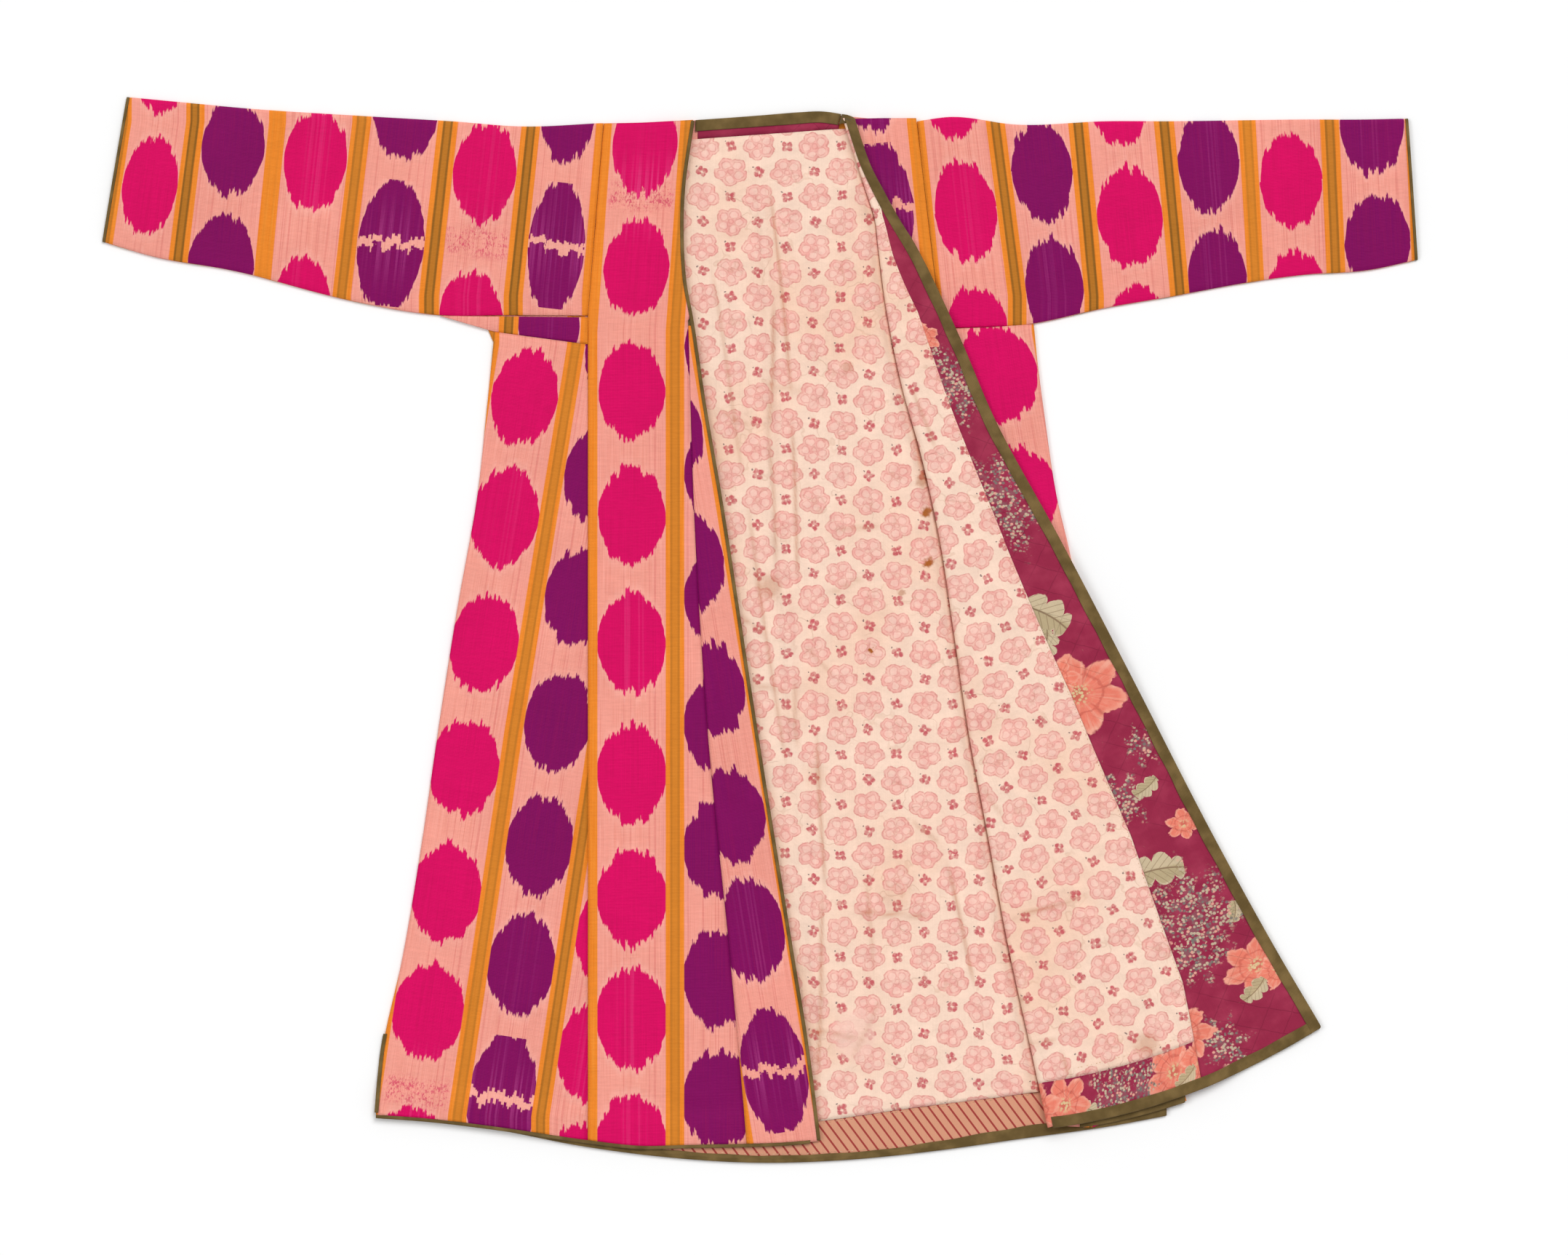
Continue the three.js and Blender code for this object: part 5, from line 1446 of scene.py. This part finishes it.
def build_tapes():
    _, edge_line, _ = left_front_lines()
    made = {}
    thick = OUTER + GAP + LINING

    def lay(name, x, y, z, in_x, in_y, *rest, **more):
        edge, inner = stack(x, y, z), stack(in_x, in_y, z)
        made[name] = tape(name, edge, inner, *rest, **more)

    x = np.linspace(-86.6, 80.2, 60)
    y = curve(SHOULDER_LINE, x) - EDGE
    lay("Neck_tape", x, y, 0, x - 3.2 * soft((x - 56) / 24), y - 10, thick, WIDE_LEAF, 0, on_floor=True)
    x = np.linspace(-453, 454, 300)
    y = curve(HEM_BACK, x) + EDGE
    lay("Back_hem_tape", x, y, 0, x, y + 10, thick, WIDE_LEAF + 1, 0, on_floor=True,
        widen=hem_tape_share(x))
    y = np.linspace(1, -1168, 330)
    x = edge_line(y)
    z = front_height(x, y, FAR, FAR, y - curve(HEM_LEFT, x) - EDGE) - OUTER / 2
    lay("Left_front_tape", x, y, z, x - 10, y, OUTER, NARROW_LEAF, WIDE_LEAF)
    x = np.linspace(-453, 58 - WIDE_LEAF, 180)
    y = curve(HEM_LEFT, x) + EDGE
    lay("Left_hem_tape", x, y, FRONT_HEM, x, y + 10, OUTER, NARROW_LEAF, WIDE_LEAF)

    points, *_ = turned_front(FLAP_ONLY)
    points[..., 2] -= OUTER / 2
    edge = points[:, -1].copy()
    inner = points[:, -4]
    beyond = unit(edge[-1] - edge[-2]) * np.array([[0.7], [1.3], [1.7], [EDGE]])
    edge, inner = np.concatenate([edge, edge[-1] + beyond]), np.concatenate([inner, inner[-1] + beyond])
    rise = np.array([0.35, 0.6, 0.8, 0.95])
    corner = stack((81.0, 86.5, 91.5, 95.0), (7.0, 6.0, 4.2, 2.0), edge[0, 2] * rise)
    corner_in = stack((78.0, 79.5, 82.5, 84.5), (-3.0, -3.2, -2.6, -2.6), edge[0, 2] * rise)
    edge, inner = np.concatenate([corner, edge]), np.concatenate([corner_in, inner])
    run = line_lengths(edge)
    to_end = np.clip(CORNER - (run[-1] - run), 0, CORNER)
    tuck = CORNER - np.sqrt(CORNER**2 - to_end**2)
    inset = unit(inner - edge) * tuck[:, None]
    edge, inner = edge + inset, inner + inset
    made["Turned_edge_tape"] = tape("Turned_edge_tape", edge, inner, thick, WIDE_LEAF, NARROW_LEAF)
    keep = points[-1, :, 0] < 631 - 5
    points[[-1, -6], :, 2] -= 0.35 * soft((points[[-1, -6], :, 0] - 605) / 8)
    made["Turned_hem_tape"] = tape(
        "Turned_hem_tape", points[-1, keep], points[-6, keep], thick, WIDE_LEAF, NARROW_LEAF)
    x = np.linspace(354, 475, 60)
    y = curve(HEM_RIGHT, x) + EDGE
    lay("Right_under_hem_tape", x, y, FRONT_HEM, x, y + 10, OUTER, WIDE_LEAF, NARROW_LEAF)
    return made


def stitches(name, path, step, length, seed):
    """A row of hand stitches, each a small rounded bar lying along a path of points."""
    run = line_lengths(path)
    draw = np.random.default_rng(seed)
    starts = np.arange(step / 2, run[-1] - step, step)
    starts = starts + draw.uniform(-0.22, 0.22, len(starts)) * step
    ends = starts + length * draw.uniform(0.6, 1.25, len(starts))
    a, b = (np.stack([np.interp(at, run, path[:, k]) for k in range(3)], -1) for at in (starts, ends))
    ahead = unit(b - a)
    side = np.stack([-ahead[:, 1], ahead[:, 0], 0 * ahead[:, 0]], -1)
    up = np.array([0.0, 0.0, 1.0])
    verts = []
    for share, wide, high in ((0.0, 0.22, 0.1), (0.25, 0.38, 0.36), (0.75, 0.38, 0.36), (1.0, 0.22, 0.1)):
        middle = mix(a, b, share)
        verts += [middle + side * wide - up * 0.1, middle + side * wide * 0.7 + up * high,
                  middle - side * wide * 0.7 + up * high, middle - side * wide - up * 0.1]
    verts = np.stack(verts, 1).reshape(-1, 3)
    ring = [(k, (k + 1) % 4) for k in range(4)]
    bar = [(4 * r + i, 4 * r + j, 4 * r + 4 + j, 4 * r + 4 + i) for r in range(3) for i, j in ring]
    bar += [(3, 2, 1, 0), (12, 13, 14, 15)]
    quads = (np.array(bar)[None] + 16 * np.arange(len(starts))[:, None, None]).reshape(-1, 4)
    new_object(name, verts, quads, "Thread", verts[:, :2].copy())


def build_stitches():
    points, faces, *_ = turned_front(LINED_ONLY)
    skin = points + faces * (OUTER / 2 + GAP + LINING + 0.02)
    way = unit(points[:, -1] - points[:, -2])
    lined = skin[14:HEM_ROW, -1] - way[14:HEM_ROW] * 2.2
    hem = skin[HEM_ROW - 2, 12:-2]
    x = np.linspace(40, 300, 60)
    z = BACK_LINING + LINING + 0.1
    bias = stack(x, curve(HEM_FACING_TOP, x, False) - 2.0, z + 0.25)
    x = np.linspace(-60, 190, 110)
    above_tape = EDGE + (WIDE_LEAF + 1 - EDGE) * hem_tape_share(x) + 1.6 + 0.5 * waves(x, 0 * x, 90, 31)
    back_hem = stack(x, curve(HEM_BACK, x) + above_tape, z + 0.25)
    rows = ((lined, "Facing_stitches", 5.5, 1.6), (hem, "Hem_facing_stitches", 5.5, 1.6),
            (bias, "Bias_facing_stitches", 6.0, 1.8), (back_hem, "Back_hem_stitches", 6.5, 2.6))
    for k, (path, name, step, length) in enumerate(rows):
        stitches(name, path, step, length, 30 + k)


# ---- user sizes and colours --------------------------------------------------------------------


def dye(name, description, default):
    return bpy.props.FloatVectorProperty(
        name=name, description=description, size=3, default=default, min=0, max=255)


class RobeColours(bpy.types.PropertyGroup):
    """Dye colours of the ikat cloth, as sRGB values."""

    ground: dye("Ground", "Undyed ground of the ikat", (246, 164, 148))
    magenta: dye("Magenta", "Ovals of the first columns", (222, 0, 98))
    purple: dye("Purple", "Ovals of the second columns", (124, 0, 92))
    orange: dye("Orange", "Bands between columns", (234, 126, 30))


class RobeStage(bpy.types.PropertyGroup):
    """Floor and camera."""

    field: bpy.props.FloatProperty(
        name="Field", description="Width that the camera sees on the floor", default=1.8, unit="LENGTH")
    height: bpy.props.FloatProperty(
        name="Camera height", description="Height of the camera over the floor", default=6.0, unit="LENGTH")
    centre: bpy.props.FloatVectorProperty(
        name="Centre", description="Point on the floor under the camera", size=2,
        default=(0.0275, 0.003), unit="LENGTH")
    floor: bpy.props.FloatProperty(
        name="Floor", description="Side of the floor", default=14.0, unit="LENGTH")


class ROBE_OT_materials(bpy.types.Operator):
    """Make the ikat, the prints and the tape finish"""

    bl_idname = "robe.materials"
    bl_label = "Cloth finishes"

    def execute(self, context):
        colours = context.scene.robe_colours
        names = ("ground", "magenta", "purple", "orange")
        make_materials({key: tuple(getattr(colours, key)) for key in names})
        return {"FINISHED"}


class ROBE_OT_back(bpy.types.Operator):
    """Lay the back face down, with its lining and facings on it"""

    bl_idname = "robe.back"
    bl_label = "Back and its lining"

    def execute(self, context):
        panel, left, right = build_back()
        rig.replaces(panel, "back_panel")
        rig.replaces(left, "back_gore_left")
        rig.replaces(right, "back_gore_right")
        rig.sheet(panel, flat=(0.405, 1.20), held="laid", area=0.475, rests_on=[])
        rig.sheet(left, flat=(0.243, 0.951), held="laid", area=0.160)
        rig.sheet(right, flat=(0.260, 0.945), held="laid", area=0.169)
        lining, hem, neck = build_back_lining()
        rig.replaces(lining, "back_lining")
        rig.replaces(hem, "back_hem_facing")
        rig.replaces(neck, "neck_facing")
        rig.sheet(lining, flat=(0.36, 1.14), held="laid", area=0.322, rests_on=[panel])
        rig.sheet(hem, flat=(0.48, 0.06), held="laid", area=0.0216, rests_on=[panel])
        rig.sheet(neck, flat=(0.165, 0.02), held="laid", rests_on=[panel])
        return {"FINISHED"}


class ROBE_OT_left_front(bpy.types.Operator):
    """Lay the closed left front over the back"""

    bl_idname = "robe.left_front"
    bl_label = "Left front"

    def execute(self, context):
        main, gore, side, gusset, opening = build_left_front()
        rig.replaces(main, "left_front_main")
        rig.replaces(gore, "left_front_gore")
        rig.replaces(side, "left_side_gore")
        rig.replaces(gusset, "left_gusset")
        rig.sheet(main, flat=(0.182, 1.18), held="laid", area=0.158, rests_on=["Back_length"])
        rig.sheet(gore, flat=(0.09, 0.94), held="laid", area=0.049, rests_on=["Back_length"])
        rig.sheet(side, flat=(0.243, 0.93), held="laid", area=0.158, with_pieces=[opening],
                 rests_on=["Back_left_gore_cloth"])
        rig.sheet(gusset, flat=(0.17, 0.034), held="laid", area=0.0033, rests_on=["Back_left_gore_cloth"])
        return {"FINISHED"}


class ROBE_OT_sleeves(bpy.types.Operator):
    """Lay both sleeves as flattened tubes with taped cuffs"""

    bl_idname = "robe.sleeves"
    bl_label = "Sleeves"

    def execute(self, context):
        (left, left_cuff), (right, right_cuff) = build_sleeves()
        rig.replaces(left, "left_sleeve")
        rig.replaces(right, "right_sleeve")
        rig.replaces(left_cuff, "left_cuff_binding")
        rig.replaces(right_cuff, "right_cuff_binding")
        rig.sheet(left, flat=(0.47, 0.57), held="laid", area=0.225, with_pieces=[left_cuff])
        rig.sheet(right, flat=(0.48, 0.57), held="laid", area=0.225, with_pieces=[right_cuff])
        return {"FINISHED"}


class ROBE_OT_right_front(bpy.types.Operator):
    """Turn the right front back along its fold, lining up"""

    bl_idname = "robe.right_front"
    bl_label = "Right front"

    def execute(self, context):
        front, lining, hem, facing, gore = build_right_front()
        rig.replaces(front, "right_front")
        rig.replaces(lining, "right_lining")
        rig.replaces(hem, "right_hem_facing")
        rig.replaces(facing, "right_front_facing")
        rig.replaces(gore, "right_side_gore")
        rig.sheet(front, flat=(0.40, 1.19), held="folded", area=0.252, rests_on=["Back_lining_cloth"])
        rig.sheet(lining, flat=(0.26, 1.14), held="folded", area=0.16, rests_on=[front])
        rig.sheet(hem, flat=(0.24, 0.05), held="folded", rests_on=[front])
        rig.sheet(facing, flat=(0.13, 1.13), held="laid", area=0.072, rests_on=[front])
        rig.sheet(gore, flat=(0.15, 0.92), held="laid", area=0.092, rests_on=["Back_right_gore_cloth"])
        return {"FINISHED"}


class ROBE_OT_tapes(bpy.types.Operator):
    """Bind the neck, the fronts and the hems with woven tape"""

    bl_idname = "robe.tapes"
    bl_label = "Edge tapes"

    def execute(self, context):
        made = build_tapes()
        stands_for = {
            "Neck_tape": "neck_binding", "Back_hem_tape": "back_hem_binding",
            "Left_front_tape": "left_front_binding", "Left_hem_tape": "left_hem_binding",
            "Turned_edge_tape": "right_front_binding", "Turned_hem_tape": "right_hem_binding",
            "Right_under_hem_tape": "right_under_hem_binding"}
        for name, node in stands_for.items():
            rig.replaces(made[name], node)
        return {"FINISHED"}


class ROBE_OT_stitches(bpy.types.Operator):
    """Sew the rows of hand stitches that show on the lining, the facings and the back hem"""

    bl_idname = "robe.stitches"
    bl_label = "Hand stitches"

    def execute(self, context):
        build_stitches()
        return {"FINISHED"}


class ROBE_OT_stage(bpy.types.Operator):
    """Add the floor, the lights and the camera that looks straight down"""

    bl_idname = "robe.stage"
    bl_label = "Floor, lights and camera"

    def execute(self, context):
        stage = context.scene.robe_stage
        bpy.ops.mesh.primitive_plane_add(size=stage.floor, location=(0, 0, -0.0006))
        floor = context.active_object
        floor.name = "Pale_floor"
        paint = bpy.data.materials.new("Pale floor")
        paint.use_nodes = True
        shader = paint.node_tree.nodes["Principled BSDF"]
        shader.inputs["Base Color"].default_value = (0.965, 0.965, 0.965, 1)
        shader.inputs["Roughness"].default_value = 0.9
        floor.data.materials.append(paint)
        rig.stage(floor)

        def sun(name, come_from, strength, softness):
            data = bpy.data.lights.new(name, "SUN")
            data.energy, data.angle = strength, softness
            light = bpy.data.objects.new(name, data)
            light.rotation_euler = Vector(come_from).to_track_quat("Z", "Y").to_euler()
            context.scene.collection.objects.link(light)

        sun("Key_light", (0.34, 0.62, 0.95), 1.5, 0.55)
        sun("Fill_light", (-0.75, 0.1, 0.8), 0.7, 0.5)
        world = bpy.data.worlds.new("Soft studio")
        context.scene.world = world
        world.use_nodes = True
        world.node_tree.nodes["Background"].inputs[0].default_value = (1, 1, 1, 1)
        world.node_tree.nodes["Background"].inputs[1].default_value = 0.5
        context.scene.view_settings.view_transform = "Standard"

        data = bpy.data.cameras.new("Overhead")
        data.lens = data.sensor_width * stage.height / stage.field
        data.clip_end = 50
        camera = bpy.data.objects.new("Overhead", data)
        camera.location = (stage.centre[0], stage.centre[1], stage.height)
        context.scene.collection.objects.link(camera)
        context.scene.camera = camera
        return {"FINISHED"}


class ROBE_PT_sidebar(bpy.types.Panel):
    """Steps of the robe, in order"""

    bl_idname = "ROBE_PT_sidebar"
    bl_label = "Munisak robe"
    bl_space_type = "VIEW_3D"
    bl_region_type = "UI"
    bl_category = "Robe"

    def draw(self, context):
        for step in STEPS:
            self.layout.operator(step.bl_idname)


STEPS = (ROBE_OT_stage, ROBE_OT_materials, ROBE_OT_back, ROBE_OT_left_front, ROBE_OT_sleeves,
         ROBE_OT_right_front, ROBE_OT_tapes, ROBE_OT_stitches)
CLASSES = (RobeColours, RobeStage, *STEPS, ROBE_PT_sidebar)


def register():
    for item in CLASSES:
        bpy.utils.register_class(item)
    bpy.types.Scene.robe_colours = bpy.props.PointerProperty(type=RobeColours)
    bpy.types.Scene.robe_stage = bpy.props.PointerProperty(type=RobeStage)


def unregister():
    del bpy.types.Scene.robe_stage
    del bpy.types.Scene.robe_colours
    for item in reversed(CLASSES):
        bpy.utils.unregister_class(item)


def main():
    register()
    bpy.ops.object.select_all(action="DESELECT")
    bpy.ops.robe.stage()
    bpy.ops.robe.materials()
    bpy.ops.robe.back()
    bpy.ops.robe.left_front()
    bpy.ops.robe.sleeves()
    bpy.ops.robe.right_front()
    bpy.ops.robe.tapes()
    bpy.ops.robe.stitches()
    plain = lambda box: [[float(value) for value in corner] for corner in box]
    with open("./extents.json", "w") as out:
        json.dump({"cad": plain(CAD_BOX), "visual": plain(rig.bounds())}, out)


if __name__ == "__main__":
    main()
